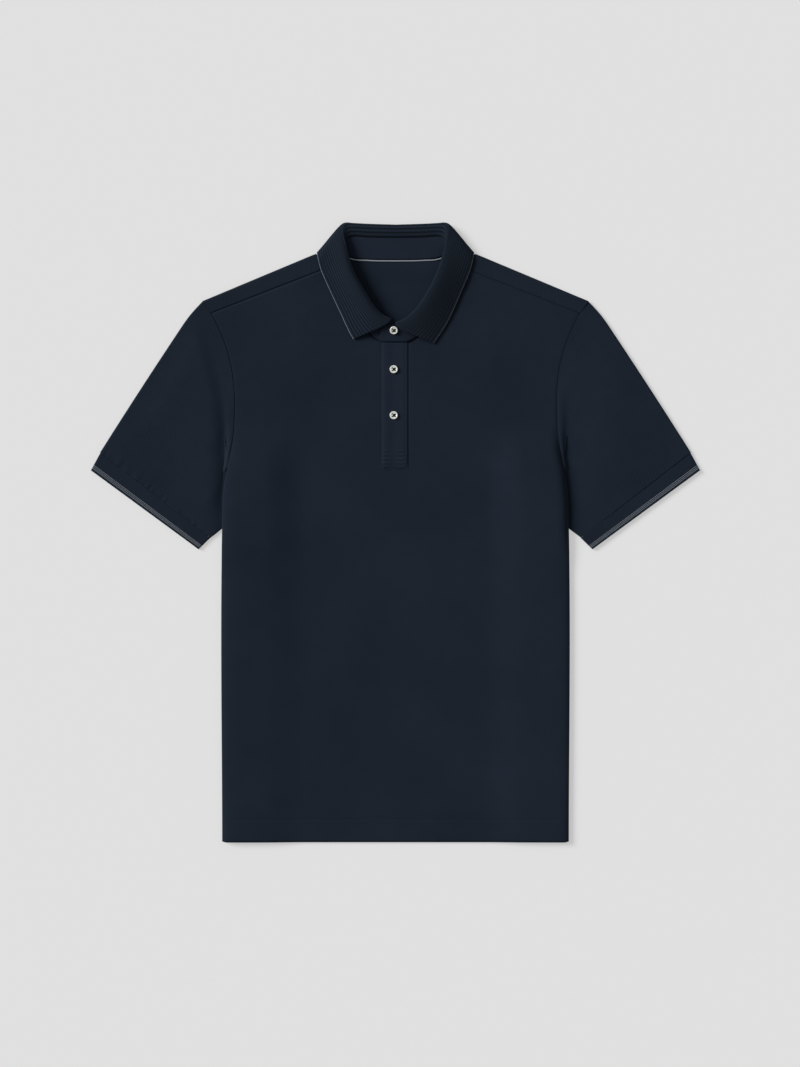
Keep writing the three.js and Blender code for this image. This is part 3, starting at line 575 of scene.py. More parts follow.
def folded_side(radius, height, side):
    """The turned-under side: half a circle of the radius at each height up the shirt,
    narrower below the armhole, and then a flat flap to the side seam, with the armhole
    cut in its top. It is drawn to the right, at the heights of its own side."""
    angle = STEPS_ROLL[None, :]
    top = mix(BLOCK_Y, FLAP_TOP_Y, angle / np.pi)
    y = mix(HEM_Y, top, STEPS_UP[:, None])
    centre = height(side * roll_start(y), y) - radius
    reach = radius * (1 - 0.8 * smooth(56, BLOCK_Y, y))
    roll = stack(roll_start(y) + reach * np.sin(angle), y, centre + radius * np.cos(angle))
    step = STEPS_FLAP[None, :]
    flap_y = mix(HEM_Y, mix(FLAP_TOP_Y, UNDERARM_Y, step), STEPS_UP[:, None])
    flap_z = height(side * roll_start(flap_y), flap_y) - 2 * radius
    flap = stack(mix(roll_start(flap_y), SIDE_SEAM_X, step), flap_y, flap_z)
    points = np.concatenate([roll, flap], 1)
    reach = roll_start(0.0) + np.concatenate([radius * STEPS_ROLL, 10 + 50 * STEPS_FLAP])
    return points, np.broadcast_to(reach, points.shape[:2])


def lower_panel(radius, height):
    """The two flats and the two folded sides as one grid, from left to right. The hem's
    sewing draws a faint furrow, and its outer corners are a little rounded."""
    y = mix(HEM_Y, BLOCK_Y, STEPS_UP[:, None])
    x = mix(SLOT_HALF, roll_start(y), STEPS_ACROSS[None, :])
    right, left = stack(x, y, height(x, y)), stack(-x, y, height(-x, y))
    fold, reach = folded_side(radius, height, 1)
    mirror = folded_side(radius, height, -1)[0] * [-1, 1, 1]
    points = np.concatenate([mirror[:, ::-1], left[:, ::-1], right, fold], 1)
    across = np.concatenate([-reach[:, ::-1], left[:, ::-1, 0], right[:, :, 0], reach], 1)
    measure = np.stack([across, points[:, :, 1]], -1)
    furrow = -0.35 * np.exp(-(((points[:, :, 1] - HEM_SEWN_Y) / 1.6) ** 2)) * (np.abs(across) < 200)
    rounding = smooth(202, 210, np.abs(points[:, :, 0])) * np.exp(-(points[:, :, 1] - HEM_Y) / 7)
    points[:, :, 1] += 1.5 * rounding
    return patch(points, measure, furrow)


def armhole_edge(y, short=SEAM):
    """The panels' edge by the armhole: it starts at the roll and soon meets the seam."""
    return mix(roll_start(y), body_edge(y) - short, smooth(BLOCK_Y, 86, y))


print("half width at the hem and chest:", float(body_edge(-300.0)), float(body_edge(150.0)))

# %% [markdown]
# The front's upper halves run from the placket slot and the neckline out to the armhole.
# Their rows are straight lines that tilt more and more, so that the last one is the
# shoulder seam, which lies 17 mm in front of the shoulder.

# %% Front panel
def neckline(y):
    """Half the width of the slot and of the neck opening at height y."""
    return np.where(y <= SLOT_TOP_Y, SLOT_HALF, table_line(NECKLINE_Y, NECKLINE_X, y))


TOP_ROW_Y = SEAM_NECK[1] - SEAM
UPPER_ROWS = np.unique(np.concatenate([
    np.linspace(BLOCK_Y, SLOT_BOTTOM_Y, 9),
    np.linspace(SLOT_BOTTOM_Y, SLOT_TOP_Y, 37),
    np.linspace(SLOT_TOP_Y, TOP_ROW_Y, 37),
]))


def seam_dip(distance):
    """Cloth is pulled down where it is sewn: a bell-shaped dip, 0.4 mm at the seam."""
    return -0.4 * np.exp(-((distance / 1.1) ** 2))


def front_half(side):
    """One upper half: rows from (neckline, y) to (armhole, y'), where y' goes from the
    block line to the shoulder seam as y does."""
    inner_y = UPPER_ROWS[:, None]
    share = (inner_y - BLOCK_Y) / (TOP_ROW_Y - BLOCK_Y)
    outer_y = mix(BLOCK_Y, SEAM_ARM[1] - SEAM, share)
    k = STEPS_ACROSS[None, :]
    x = side * mix(neckline(inner_y), armhole_edge(outer_y), k)
    y = mix(inner_y, outer_y, k)
    points = stack(x, y, front_height(x, y))
    dip = seam_dip(np.abs(armhole_edge(outer_y) - side * x)) * smooth(BLOCK_Y + 6, BLOCK_Y + 20, y)
    if side < 0:
        points, dip = points[:, ::-1], dip[:, ::-1]
    return patch(points, points[:, :, :2], dip)


def slot_foot():
    """The stretch between the block line and the foot of the slot."""
    y = np.linspace(BLOCK_Y, SLOT_BOTTOM_Y, 9)[:, None]
    x = np.linspace(-SLOT_HALF, SLOT_HALF, 9)[None, :]
    points = stack(x, y, front_height(x, y))
    return patch(points, points[:, :, :2])


front = cloth_piece(
    "front_cloth",
    [lower_panel(SIDE_ROLL, front_height), front_half(-1), front_half(1), slot_foot()],
    CLOTH, body_knit, "front_panel",
)

# %% [markdown]
# The back panel goes up to the neck seam in the middle. Beside the neck it goes over the
# shoulder in a small roll and comes down on the front to the shoulder seam, as on a
# shirt whose shoulder seam is set forward.

# %% Back panel
# The back's edge stands in a little, so that no floor shows through the armhole seam
BACK_SHORT = 1.2
NECK_SHARE = 0.33
TOPS_NECK = mix(0, NECK_SHARE, np.linspace(0, 1, 17))
TOPS_SHOULDER = mix(NECK_SHARE, 1, np.linspace(0, 1, 41))


def shoulder_roll(x):
    """The radius of the roll over the shoulder, tighter where the collar wraps it."""
    return mix(1.2, 1.7, smooth(95, 125, x))


def back_top(share):
    """Where a column of the back ends: on the neck seam, or at the start of the roll."""
    x = share * (armhole_edge(SHOULDER_POINT_Y) + SEAM)
    on_neck = table_line(BACK_NECK_X, BACK_NECK_Y, x) - SEAM
    on_fold = np.interp(x, SHOULDER_X, SHOULDER_Y) - shoulder_roll(x) - CLOTH / 2
    return x, np.where(share <= NECK_SHARE + 1e-9, on_neck, on_fold)


def back_half(side):
    """The upper back from the block line to its top. Each column's foot is on the lower
    panel's own points, and its outer edge follows the armhole."""
    share = np.interp(STEPS_ACROSS, [0, 0.42, 1], [0.14, NECK_SHARE, 1])
    top_x, top_y = back_top(share)
    t = np.linspace(0, 1, 65)[:, None]
    y = mix(BLOCK_Y, top_y[None, :], t)
    foot = mix(SLOT_HALF, roll_start(BLOCK_Y), STEPS_ACROSS)
    x = mix(foot[None, :], top_x[None, :], t)
    x[:, -1] = armhole_edge(y[:, -1], mix(BACK_SHORT, SEAM, smooth(0.9, 1, t[:, 0])))
    points = stack(side * x, y, back_height(side * x, y))
    if side < 0:
        points = points[:, ::-1]
    return patch(points, points[:, :, :2]), share


def shoulder_wrap(side, share):
    """The roll over the shoulder, half a circle at each column, and the yoke's way down
    to the shoulder seam. The knit turns over with the cloth, so its measures are the
    places mirrored in the shoulder's line."""
    share = share[share >= NECK_SHARE - 1e-6]
    x, y = back_top(share)
    start = stack(x, y, back_height(side * x, y))
    k = (share - NECK_SHARE) / (1 - NECK_SHARE)
    seam_xy = mix(SEAM_NECK[None, :], SEAM_ARM[None, :], k[:, None]) + [0, SEAM]
    seam = stack(seam_xy[:, 0], seam_xy[:, 1], front_height(side * seam_xy[:, 0], seam_xy[:, 1]))
    outward = (start - seam)[:, :2]
    outward = outward / np.linalg.norm(outward, axis=1, keepdims=True)
    radius = shoulder_roll(x)
    angle = np.linspace(-np.pi / 2, np.pi / 2, 11)[:, None]
    arc = stack(
        start[:, 0] + outward[:, 0] * radius * np.cos(angle),
        start[:, 1] + outward[:, 1] * radius * np.cos(angle),
        start[:, 2] + radius + radius * np.sin(angle),
    )
    down = mix(arc[-1][None], seam[None], np.linspace(0, 1, 9)[1:, None, None])
    points = np.concatenate([arc, down]) * [side, 1, 1]
    way = points[:, :, :2] * [side, 1] - start[None, :, :2]
    turned = points[:, :, :2] * [side, 1] - 2 * (way @ SHOULDER_NORMAL)[..., None] * SHOULDER_NORMAL
    measure = turned * [side, 1]
    if side < 0:
        points, measure = points[:, ::-1], measure[:, ::-1]
    return patch(points, measure)


def back_middle():
    """The strip between the two halves, below the middle of the neck."""
    t = np.linspace(0, 1, 65)[:, None]
    half_top = back_top(np.array([0.14]))[0][0]
    k = np.linspace(-1, 1, 9)[None, :]
    x = k * mix(SLOT_HALF, half_top, t)
    top_y = table_line(BACK_NECK_X, BACK_NECK_Y, np.abs(k * half_top)) - SEAM
    y = mix(BLOCK_Y, top_y, t)
    points = stack(x, y, back_height(x, y))
    return patch(points, points[:, :, :2])


(back_left, shares), (back_right, _) = back_half(-1), back_half(1)
back = cloth_piece(
    "back_cloth",
    [lower_panel(SIDE_ROLL - LAYER, back_height), back_left, back_right, back_middle(),
     shoulder_wrap(-1, shares), shoulder_wrap(1, shares)],
    CLOTH, body_knit, "back_panel",
)

# %% [markdown]
# A sleeve is a tube pressed flat, so each ring of it is two straight runs with a small
# half circle at each end. It starts on the armhole, whose line leans and curves, and
# ends on the straight cuff seam, so a point is found by its share of the way round and
# its share of the way down. Beside the lower armhole the sleeve comes out from under
# the body, and there it dips into a narrow valley.

# %% Sleeves
ARMHOLE_SEAT = [0, 1, 2, 3, 4, 5, 6, 7, 8, 8.5, 9, 9.5, 10, 11, 12]
ARMHOLE_X = [230.6, 222.1, 214.4, 203.5, 197, 194, 193.8, 195.8, 200.5, 199.6, 199.7, 201.4, 199.6, 196, 178]
ARMHOLE_Y = [275.6, 262.4, 248, 220, 195, 170, 142, 112, 87, 80.5, 77, 72.2, 66, 50, 28]
CUFF_SEAM = np.array([[352.6, 94.6], [223.4, -5.4]])
CUFF_EDGE = np.array([[363.2, 75.2], [236.4, -18.2]])
SLEEVE_RISE = 1.3
SLEEVE_DOME = 2.2
STRIP_Y = [60, 76, 87, 100, 116, 140, 195, 280]
STRIP_WIDTH = [3, 3.4, 5, 8, 10.5, 13.5, 21, 26]


def sleeve_plan(f, a):
    """The place from above: f is 0 at the outer fold and 1 at the lower one, a is 0 at
    the armhole and 1 at the cuff."""
    seat = f * ARMHOLE_SEAT[-1]
    head = np.stack([table_line(ARMHOLE_SEAT, ARMHOLE_X, seat), table_line(ARMHOLE_SEAT, ARMHOLE_Y, seat)], -1)
    on_body = smooth(82, 94, head[..., 1])
    head[..., 0] = mix(head[..., 0], body_edge(head[..., 1]) + 0.1, on_body)
    foot = mix(CUFF_SEAM[0], CUFF_SEAM[1], f[..., None])
    along = foot - head
    length = np.linalg.norm(along, axis=-1)
    outward = np.stack([-along[..., 1], along[..., 0]], -1) / length[..., None]
    rounding = 1 - (1 - np.clip(a / 0.17, 0, 1)) ** 2
    crown = 3.8 * rounding * (1 - 0.9 * a * a) * (1 - smooth(0, 0.45, f))
    return head + along * a[..., None] + outward * crown[..., None]


def climb(k, sharp):
    """From 0 to 1 as k does: in a soft S, or where sharp is 1 as 1 - (1 - k)^2, which
    rises fast at once."""
    return mix(smooth(0, 1, k), 1 - (1 - np.clip(k, 0, 1)) ** 2, sharp)


def sleeve_heights(f, a, side, ripple, valley, roll):
    """The middles of the two layers, by how far a point is from the body's edge. At the
    seam they are at the panels' heights, beside it they fall in a soft roll to the floor,
    and from that valley the upper one climbs again to a low dome, sooner where valley is
    small. Beside the seam a roll of cloth stands up. Below the seam they pass under the
    body. Near the cuff seam a sine along it
    puckers them by the ripple."""
    point = sleeve_plan(f, a)
    x, y = point[..., 0], point[..., 1]
    out = x - body_edge(y)
    on_seam = smooth(71, 79, y)
    edge_x = np.minimum(x, body_edge(y))
    under = LAYER * smooth(0, 1.5, armhole_edge(np.maximum(y, BLOCK_Y)) - x)
    seam_front = mix(CLOTH / 2 + LAYER, front_height(side * edge_x, y) - under, on_seam)
    seam_back = mix(CLOTH / 2, back_height(side * edge_x, y) - under, on_seam)
    strip = np.interp(y, STRIP_Y, STRIP_WIDTH)
    away = smooth(strip * 0.2, strip, out)
    low = 1 - smooth(100, 195, y)
    near, far = ((out - strip * 0.8) / (reach * valley) for reach in (16, 24))
    sharp = (valley < 1) * (1 - smooth(66, 104, y))
    easy = SLEEVE_RISE * mix(1, climb(near, sharp), low)
    dome = SLEEVE_DOME * climb(far, sharp) * (1 - smooth(0.35, 0.97, a))
    dome = dome * smooth(0, 0.22, f) * (1 - smooth(0.8, 1, f))
    waves = np.sin(95 * f + 4 * np.sin(13 * f)) * np.sin(23 * f + 1)
    pucker = ripple * waves * np.exp(-(((1 - a) / 0.045) ** 2))
    lower = np.maximum(mix(seam_back, CLOTH / 2, away), CLOTH / 2)
    beside = roll * np.exp(-(((out - 5) / 5) ** 2)) * smooth(78, 102, y) * (1 - smooth(140, 185, y))
    upper = mix(seam_front, CLOTH / 2 + LAYER + easy + dome, away) + pucker + beside
    return lower, np.maximum(upper, lower + LAYER)


def tube_rings(plan, heights, f, a, a_below):
    """A grid of rings, one for each a: the upper layer from the outer fold to the lower
    one, half a circle round it, the lower layer back, and half a circle to the start. The
    lower layer has its own a, because its seams lie a little further on, so that no floor
    shows through."""
    f_grid, a_grid = np.broadcast_arrays(f[None, :], a[:, None])
    xy = plan(f_grid, a_grid)
    inside = smooth(0, 0.03, f) * (1 - smooth(0.97, 1, f))
    below = plan(f_grid, mix(a[:, None], a_below[:, None], inside[None, :]))
    low, high = heights(f_grid, a_grid)
    top, bottom = stack(xy[..., 0], xy[..., 1], high), stack(below[..., 0], below[..., 1], low)
    turn = np.linspace(0, np.pi, 9)[1:-1]
    folds = []
    for end, before in ((-1, -4), (0, 3)):
        outward = xy[:, end] - xy[:, before]
        outward = outward / np.linalg.norm(outward, axis=1, keepdims=True)
        radius = (high[:, end] - low[:, end]) / 2
        reach = radius[:, None] * np.sin(turn)
        folds.append(stack(
            xy[:, end, 0][:, None] + outward[:, 0][:, None] * reach,
            xy[:, end, 1][:, None] + outward[:, 1][:, None] * reach,
            (low[:, end] + radius)[:, None] + radius[:, None] * np.cos(turn),
        ))
    return np.concatenate([top, folds[0], bottom[:, ::-1], folds[1][:, ::-1], top[:, :1]], 1)


CUFF_WAY = unit(CUFF_SEAM[1] - CUFF_SEAM[0])


def tube_patch(rings, side, relief=0.0, from_edge=None):
    """The rings as a grid that faces outwards, on the right or mirrored to the left. The
    measures are the way along the cuff seam and the way across it, seen from above,
    because a tube pressed flat keeps its size there. A cuff counts from its edge."""
    way_along = rings[..., :2] @ CUFF_WAY
    way_across = rings[..., :2] @ np.array([CUFF_WAY[1], -CUFF_WAY[0]])
    measure = stack(way_along, way_across if from_edge is None else from_edge)
    relief = np.broadcast_to(relief, rings.shape[:2])
    if side > 0:
        rings, measure, relief = rings[:, ::-1], measure[:, ::-1], relief[:, ::-1]
    else:
        rings = rings * [-1, 1, 1]
    return patch(rings, measure, relief)


SLEEVE_F = np.unique(np.round(np.concatenate([
    np.linspace(0, 0.1, 9), np.linspace(0.1, 0.7, 61), np.linspace(0.7, 1, 37)]), 6))
SLEEVE_A = np.unique(np.concatenate([
    [0.003, 0.006], np.linspace(0, 0.2, 25), np.linspace(0.2, 0.85, 37), np.linspace(0.85, 1, 16), [0.996]]))
SHORT_OF_SEAM = 0.9997


def sleeve(side, name, node, ripple, bead, valley, roll):
    """One sleeve, from the armhole seam to the cuff seam, where its end stands up by the
    bead, because the seam is folded under there."""
    rings = tube_rings(
        lambda f, a: sleeve_plan(f, a * SHORT_OF_SEAM),
        lambda f, a: sleeve_heights(f, a, side, ripple, valley, roll),
        SLEEVE_F, SLEEVE_A, mix(-0.004, 1.005, SLEEVE_A))
    dips = seam_dip(SLEEVE_A * 200) + bead * np.exp(-(((1 - SLEEVE_A) * 150 / 3.5) ** 2))
    patches = [tube_patch(rings, side, dips[:, None])]
    return cloth_piece(name, patches, CLOTH, body_knit, node)


sleeve_left = sleeve(1, "sleeve_left_cloth", "sleeve_left", 0.1, 1.9, 3.0, 0.9)
sleeve_right = sleeve(-1, "sleeve_right_cloth", "sleeve_right", 0.45, 0.3, 0.75, 0.3)

# %% [markdown]
# The cuffs are bands of rib knit, sewn on flat. Fine lighter lines are knitted along the
# edge, so they are in the material, placed by the distance from the edge.

# %% Cuffs
CUFF_WIDTH = 22.0
CUFF_STRETCH = 1.08


def cuff(side, name, node):
    """A flattened tube between the cuff seam and the cuff's edge. The second measure is
    the distance from the edge."""
    def plan(f, a):
        across = a[..., None] * CUFF_STRETCH
        seam = mix(CUFF_SEAM[0], CUFF_SEAM[1], f[..., None])
        return mix(seam, mix(CUFF_EDGE[0], CUFF_EDGE[1], f[..., None]), across)

    def heights(f, a):
        low = np.full(f.shape, RIB_CLOTH / 2)
        return low, low + LAYER + 0.6 * SLEEVE_RISE

    a = np.linspace(0.004, 1, 45)
    rings = tube_rings(plan, heights, np.linspace(0, 1, 65), a, mix(0.065, 1, np.linspace(0, 1, 45)))
    distance = (CUFF_WIDTH * CUFF_STRETCH * (1 - a))[:, None]
    patches = [tube_patch(rings, side, 2.4 * seam_dip(CUFF_WIDTH * a / 1.5)[:, None], distance)]
    return cloth_piece(name, patches, RIB_CLOTH, cuff_knit, node)


cuff_left = cuff(1, "cuff_left_knit", "cuff_left")
cuff_right = cuff(-1, "cuff_right_knit", "cuff_right")

# %% [markdown]
# The collar is where a polo shirt is most itself. The leaf is a rib-knit strip that
# stands up from the neck and rolls over. Four lines describe it all round the neck: the
# neck seam, the joint of stand and leaf, the ridge of the roll and the tipped edge. A
# section of the leaf is two Bezier curves that meet on the ridge, and the whole leaf is
# that section carried round the neck. The ribs rise on its outer face alone.

# %% Collar leaf
# A row for each station from the middle of the back to the front end: the neck seam,
# the joint, the ridge, the edge, and the way that the ridge points, in degrees.
COLLAR = [
    [(0, 327, 2.9), (0, 353.5, 4.6), (0, 368.4, 4.3), (0, 324.6, 0.6), 0],
    [(31.8, 327.6, 2.9), (32, 354, 4.7), (32, 369.4, 4.3), (36, 325.4, 0.6), 0],
    [(52, 329.8, 3), (50, 355, 5.4), (52, 370.4, 4.7), (68, 328, 0.6), 8],
    [(64.4, 336, 3.4), (56, 353.5, 6.3), (58, 370.8, 5.6), (90.3, 332.4, 0.6), 22],
    [(71.8, 340.4, 4.6), (59.3, 349.5, 7.6), (62.2, 369.4, 7.4), (93.8, 335.4, 3.9), 48],
    [(71.6, 331.5, 5.6), (60.8, 343.5, 8.6), (65.4, 361.9, 10.2), (92.6, 327.2, 7.4), 72],
    [(68.4, 320.5, 5), (60.6, 335.5, 9.4), (62.5, 346.3, 13), (89.4, 314.8, 7), 93],
    [(63.6, 303, 4), (57, 323, 10), (58.8, 330.2, 14.8), (84.2, 302, 6.2), 104],
    [(58.4, 288.4, 3.4), (52, 309.8, 10.4), (53.4, 314.1, 15.8), (78.5, 289.1, 5.6), 110],
    [(52.6, 275.6, 3.1), (45, 296, 10.6), (46.2, 298.6, 16), (72.8, 276.3, 5.2), 110],
    [(45.8, 261.5, 2.9), (36.8, 282, 10.6), (37.9, 284, 15.8), (67, 263.6, 4.8), 110],
    [(37.4, 247.5, 2.8), (27.5, 268.5, 10.5), (28.7, 269.8, 15.2), (60.9, 251.1, 4.5), 110],
    [(25.6, 234.8, 2.7), (15.6, 257, 10.4), (16.4, 256.9, 14.2), (54.1, 238.9, 4.4), 110],
    [(14, 228.8, 2.6), (3.6, 252.6, 10.4), (3.4, 250.2, 13.4), (48, 229, 4.4), 110],
]
STATIONS = len(COLLAR) - 1
STAND_LINE, JOINT_LINE, RIDGE_LINE, EDGE_LINE = (
    np.array([row[k] for row in COLLAR], float) for k in range(4))
ROLL_DEGREES = np.array([row[4] for row in COLLAR], float)


def through(points, place):
    """A centripetal Catmull-Rom curve: through every point, with knots spaced by the
    square root of the distance, which keeps it from looping. place counts the points."""
    first, last = 2 * points[0] - points[1], 2 * points[-1] - points[-2]
    knots = np.vstack([first, points, last])
    i = np.clip(np.floor(place).astype(int), 0, len(points) - 2)
    t = (place - i)[..., None]
    p0, p1, p2, p3 = (knots[i + k] for k in range(4))
    d0, d1, d2 = (np.sqrt(np.linalg.norm(b - a, axis=-1))[..., None]
                  for a, b in ((p0, p1), (p1, p2), (p2, p3)))
    leave = ((p1 - p0) / d0 - (p2 - p0) / (d0 + d1) + (p2 - p1) / d1) * d1
    reach = ((p2 - p1) / d1 - (p3 - p1) / (d1 + d2) + (p3 - p2) / d2) * d1
    return (p1 + leave * t + (3 * (p2 - p1) - 2 * leave - reach) * t**2
            + (2 * (p1 - p2) + leave + reach) * t**3)


def lean_at(station):
    """How far one front end of the collar lies lower than the middle, the other higher."""
    return 2.4 * smooth(5, STATIONS, station)


def shift_at(station):
    """How far both ends meet off the middle, to the left of the picture."""
    return -2.4 * smooth(10, STATIONS, station)


def collar_point(line, s):
    """A point on one of the four lines. s is the station, negative on the left."""
    side = np.where(s < 0, -1.0, 1.0)
    p = through(line, np.abs(s))
    return stack(side * p[..., 0] + shift_at(np.abs(s)), p[..., 1] - side * lean_at(np.abs(s)), p[..., 2])


def bezier(a, b, c, d, t):
    """A cubic Bezier curve with those four handles."""
    return a * (1 - t) ** 3 + 3 * b * t * (1 - t) ** 2 + 3 * c * t**2 * (1 - t) + d * t**3


def leaf_sections(s, t_inner, t_outer):
    """The leaf at the signed stations s: from the joint up to the ridge at the shares
    t_inner, and from the ridge down to the edge at t_outer."""
    station = np.abs(s)
    joint, ridge, edge = (collar_point(line, s) for line in (JOINT_LINE, RIDGE_LINE, EDGE_LINE))
    along = collar_point(RIDGE_LINE, np.minimum(s + 0.2, STATIONS))
    along = unit(along - collar_point(RIDGE_LINE, np.maximum(s - 0.2, -STATIONS)))
    degrees = np.interp(station, np.arange(STATIONS + 1), ROLL_DEGREES) - 10 * np.sign(s) * smooth(5, 8, station)
    angle = np.radians(degrees)[:, None]
    sideways = unit(stack(-along[:, 1], along[:, 0], 0 * along[:, 0]))
    crest = sideways * np.cos(angle) + np.array([0, 0, 1.0]) * np.sin(angle)
    across = -unit(np.cross(along, crest))
    over = smooth(3, 6, station)[:, None]
    plump = mix(4.0, 6.5, over)
    from_joint = mix(joint, ridge, 0.3) + np.array([0, 0, 1.0]) * mix(3.4, 2.0, over)
    flat = unit(ridge - edge) * mix(16.0, 17.0, over)
    flat[:, 2] = np.where(s < 0, 2.4, 6.0) * over[:, 0]
    handles_in = [joint, from_joint, ridge - across * plump, ridge]
    handles_out = [ridge, ridge + across * plump, edge + flat, edge]
    inner = bezier(*(h[:, None, :] for h in handles_in), t_inner[None, :, None])
    outer = bezier(*(h[:, None, :] for h in handles_out), t_outer[None, :, None])
    return np.concatenate([inner, outer], 1)


LEAF_RIBS, INNER_RIBS, RIB_HEIGHT = 14, 4, 0.55
LEAF_WIDTH = 45.0
leaf_s = np.unique(np.concatenate([np.linspace(-13, -3, 81), np.linspace(-3, 3, 49), np.linspace(3, 13, 81)]))
inner_t = mix(0.015, 1, np.linspace(0, 1, INNER_RIBS * 6 + 1)[:-1])
outer_t = np.linspace(0, 1, LEAF_RIBS * 6 + 1)


def rib_wave(ribs, t):
    """Rounded ridges with narrow furrows: the root of a rectified sine, once a rib."""
    return np.abs(np.sin(np.pi * ribs * t)) ** 0.7


leaf_points = leaf_sections(leaf_s, inner_t, outer_t)
shows = smooth(3.2, 4.6, np.abs(leaf_s))[:, None]
tipped_flat = 1 - smooth(0.93, 0.97, outer_t)
rib_fade = 1 - 0.7 * smooth(0.35, 0.75, outer_t)[None, :] * (leaf_s < 0)[:, None]
edge_dip = 0.5 * smooth(0.95, 1, outer_t)[None, :] * shows
inner_wave = 0.6 * rib_wave(INNER_RIBS, np.linspace(0, 1, INNER_RIBS * 6 + 1)[:-1])
leaf_relief = np.concatenate([
    RIB_HEIGHT * np.broadcast_to(inner_wave, (len(leaf_s), len(inner_t))),
    RIB_HEIGHT * rib_wave(LEAF_RIBS, outer_t)[None, :] * shows * tipped_flat[None, :] * rib_fade - edge_dip,
], 1)
leaf_across = np.concatenate([LEAF_WIDTH + 14 * (1 - inner_t), LEAF_WIDTH * (1 - outer_t)])
leaf_along = np.cumsum(np.concatenate([[0], np.linalg.norm(np.diff(collar_point(RIDGE_LINE, leaf_s), axis=0), axis=1)]))
leaf_measure = stack(leaf_along[:, None], leaf_across[None, :])
leaf = cloth_piece(
    "leaf_knit", [patch(leaf_points, leaf_measure, leaf_relief)], RIB_CLOTH, leaf_knit, "collar_leaf")

# %% [markdown]
# The stand is the band that holds the leaf up. It runs from one front end round the neck
# to the other, which laps over and holds the top button. Its section is a straight line
# from the neck seam to the joint that sags a little where it is steep.

# %% Collar stand
UNDER_LOW = [(13.2, 230, 2.2), (6, 228.8, 2.2), (-4, 228.8, 2.2)]
UNDER_HIGH = [(13.2, 245, 7.0), (8, 248, 7.6), (1, 248.5, 7.8)]
OVER_LOW = [(4, 228.8, 4.0), (-8, 228.8, 4.0), (-15.5, 229.4, 4.0), (-18.4, 233, 4.9)]
OVER_HIGH = [(-1.5, 250, 9.6), (-9, 248.6, 9.2), (-14, 247, 8.8), (-17.6, 243, 7.7)]


def stand_line(line, drop):
    """The stand's lower or upper edge from end to end of the neck, without the lean of
    the leaf, and lifted where one end laps over the other."""
    s = np.linspace(-13, 13, 53)
    p = collar_point(line, s)
    if line is STAND_LINE:
        p[:, 1] += np.where(s < 0, -1, 1) * lean_at(np.abs(s))
        p[:, 0] -= shift_at(np.abs(s))
        p[:, 2] += np.where(s > 0, 1.3, -0.4) * smooth(11.5, 13, np.abs(s))
    p[:, 2] -= drop
    return p


stand_low = np.vstack([UNDER_LOW, stand_line(STAND_LINE, 0.0), OVER_LOW])
stand_high = np.vstack([UNDER_HIGH, stand_line(JOINT_LINE, 0.6), OVER_HIGH])
places = np.linspace(0, len(stand_low) - 1, 241)
low_edge, high_edge = through(stand_low, places), through(stand_high, places)
t = np.linspace(0, 1, 13)
stand_points = mix(low_edge[:, None, :], high_edge[:, None, :], t[None, :, None])
steep = smooth(2, 12, high_edge[:, 2] - low_edge[:, 2])
stand_points[:, :, 2] -= 0.9 * np.sin(np.pi * t)[None, :] * steep[:, None]
stand_run = np.cumsum(np.concatenate([[0], np.linalg.norm(np.diff(low_edge, axis=0), axis=1)]))
stand = cloth_piece(
    "stand_cloth", [patch(stand_points, stack(stand_run[:, None], 24 * t[None, :]))],
    CLOTH, placket_knit, "collar_stand")

# %% [markdown]
# Along the back neck seam runs a light piping. It is a cord in a folded strip, so it is
# round: an ellipse carried along the seam.

# %% Neck piping
def swept(path, radii, sides=10):
    """An ellipse carried along a path that lies nearly level: at each point, its height
    along Z and its width across the path."""
    ahead = unit(np.gradient(path, axis=0))
    level = unit(stack(-ahead[:, 1], ahead[:, 0], 0 * ahead[:, 0]))
    turn = np.linspace(0, 2 * np.pi, sides + 1)
    across = level[:, None, :] * (radii[0] * np.cos(turn))[None, :, None]
    up = np.array([0, 0, 1.0]) * (radii[1] * np.sin(turn))[None, :, None]
    return path[:, None, :] + across + up


piping_x = np.linspace(-68, 68, 81)
piping_y = table_line(BACK_NECK_X, BACK_NECK_Y, np.abs(piping_x)) - 0.6
piping_path = stack(piping_x, piping_y, back_height(piping_x, piping_y) + CLOTH / 2 + GAP + 0.55)
piping_rings = swept(piping_path, (0.8, 0.55))
piping_sheet = joined([patch(piping_rings, stack(piping_x[:, None], np.linspace(0, 4, 11)[None, :]))])
piping = new_piece("piping_cord", piping_sheet["points"], piping_sheet["quads"], piping_sheet["measure"], piping_knit)
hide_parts("neck_piping")

# %% [markdown]
# The placket is two strips. The upper one laps over the slot, is folded at its free edge
# and sewn down along the other, and is closed below by a box of stitches. Between the
# rows of that box the cloth puffs up a little.

# %% Placket
PLACKET_LEFT, PLACKET_RIGHT, PLACKET_BOTTOM = -16.8, 15.6, 75.7
TOPSTITCH_X = 11.4
BOX_ROWS_Y = [95.5, 90.7, 85.7, 81.2, 76.6]


def placket_relief(x, y):
    """How the upper strip's outer face is raised: a rounded fold along the free edge, a
    furrow at the topstitching, and soft puffs between the rows of the box."""
    from_edge = x - PLACKET_LEFT
    fold = 0.7 * smooth(-1.5, 4, from_edge) * (1 - smooth(4.5, 16, from_edge)) * smooth(74, 86, y)
    rows = sum(1.1 * np.exp(-(((y - row) / 0.95) ** 2)) for row in BOX_ROWS_Y)
    uneven = 0.65 + 0.35 * np.cos(from_edge / 4.6)
    puff = (0.6 - rows) * uneven * (1 - smooth(96, 100, y)) * (1 - smooth(9.5, 12.5, x)) * smooth(1, 3, from_edge)
    furrow = -0.4 * np.exp(-(((x - TOPSTITCH_X) / 0.8) ** 2)) * smooth(92, 100, y)
    return fold + puff + furrow


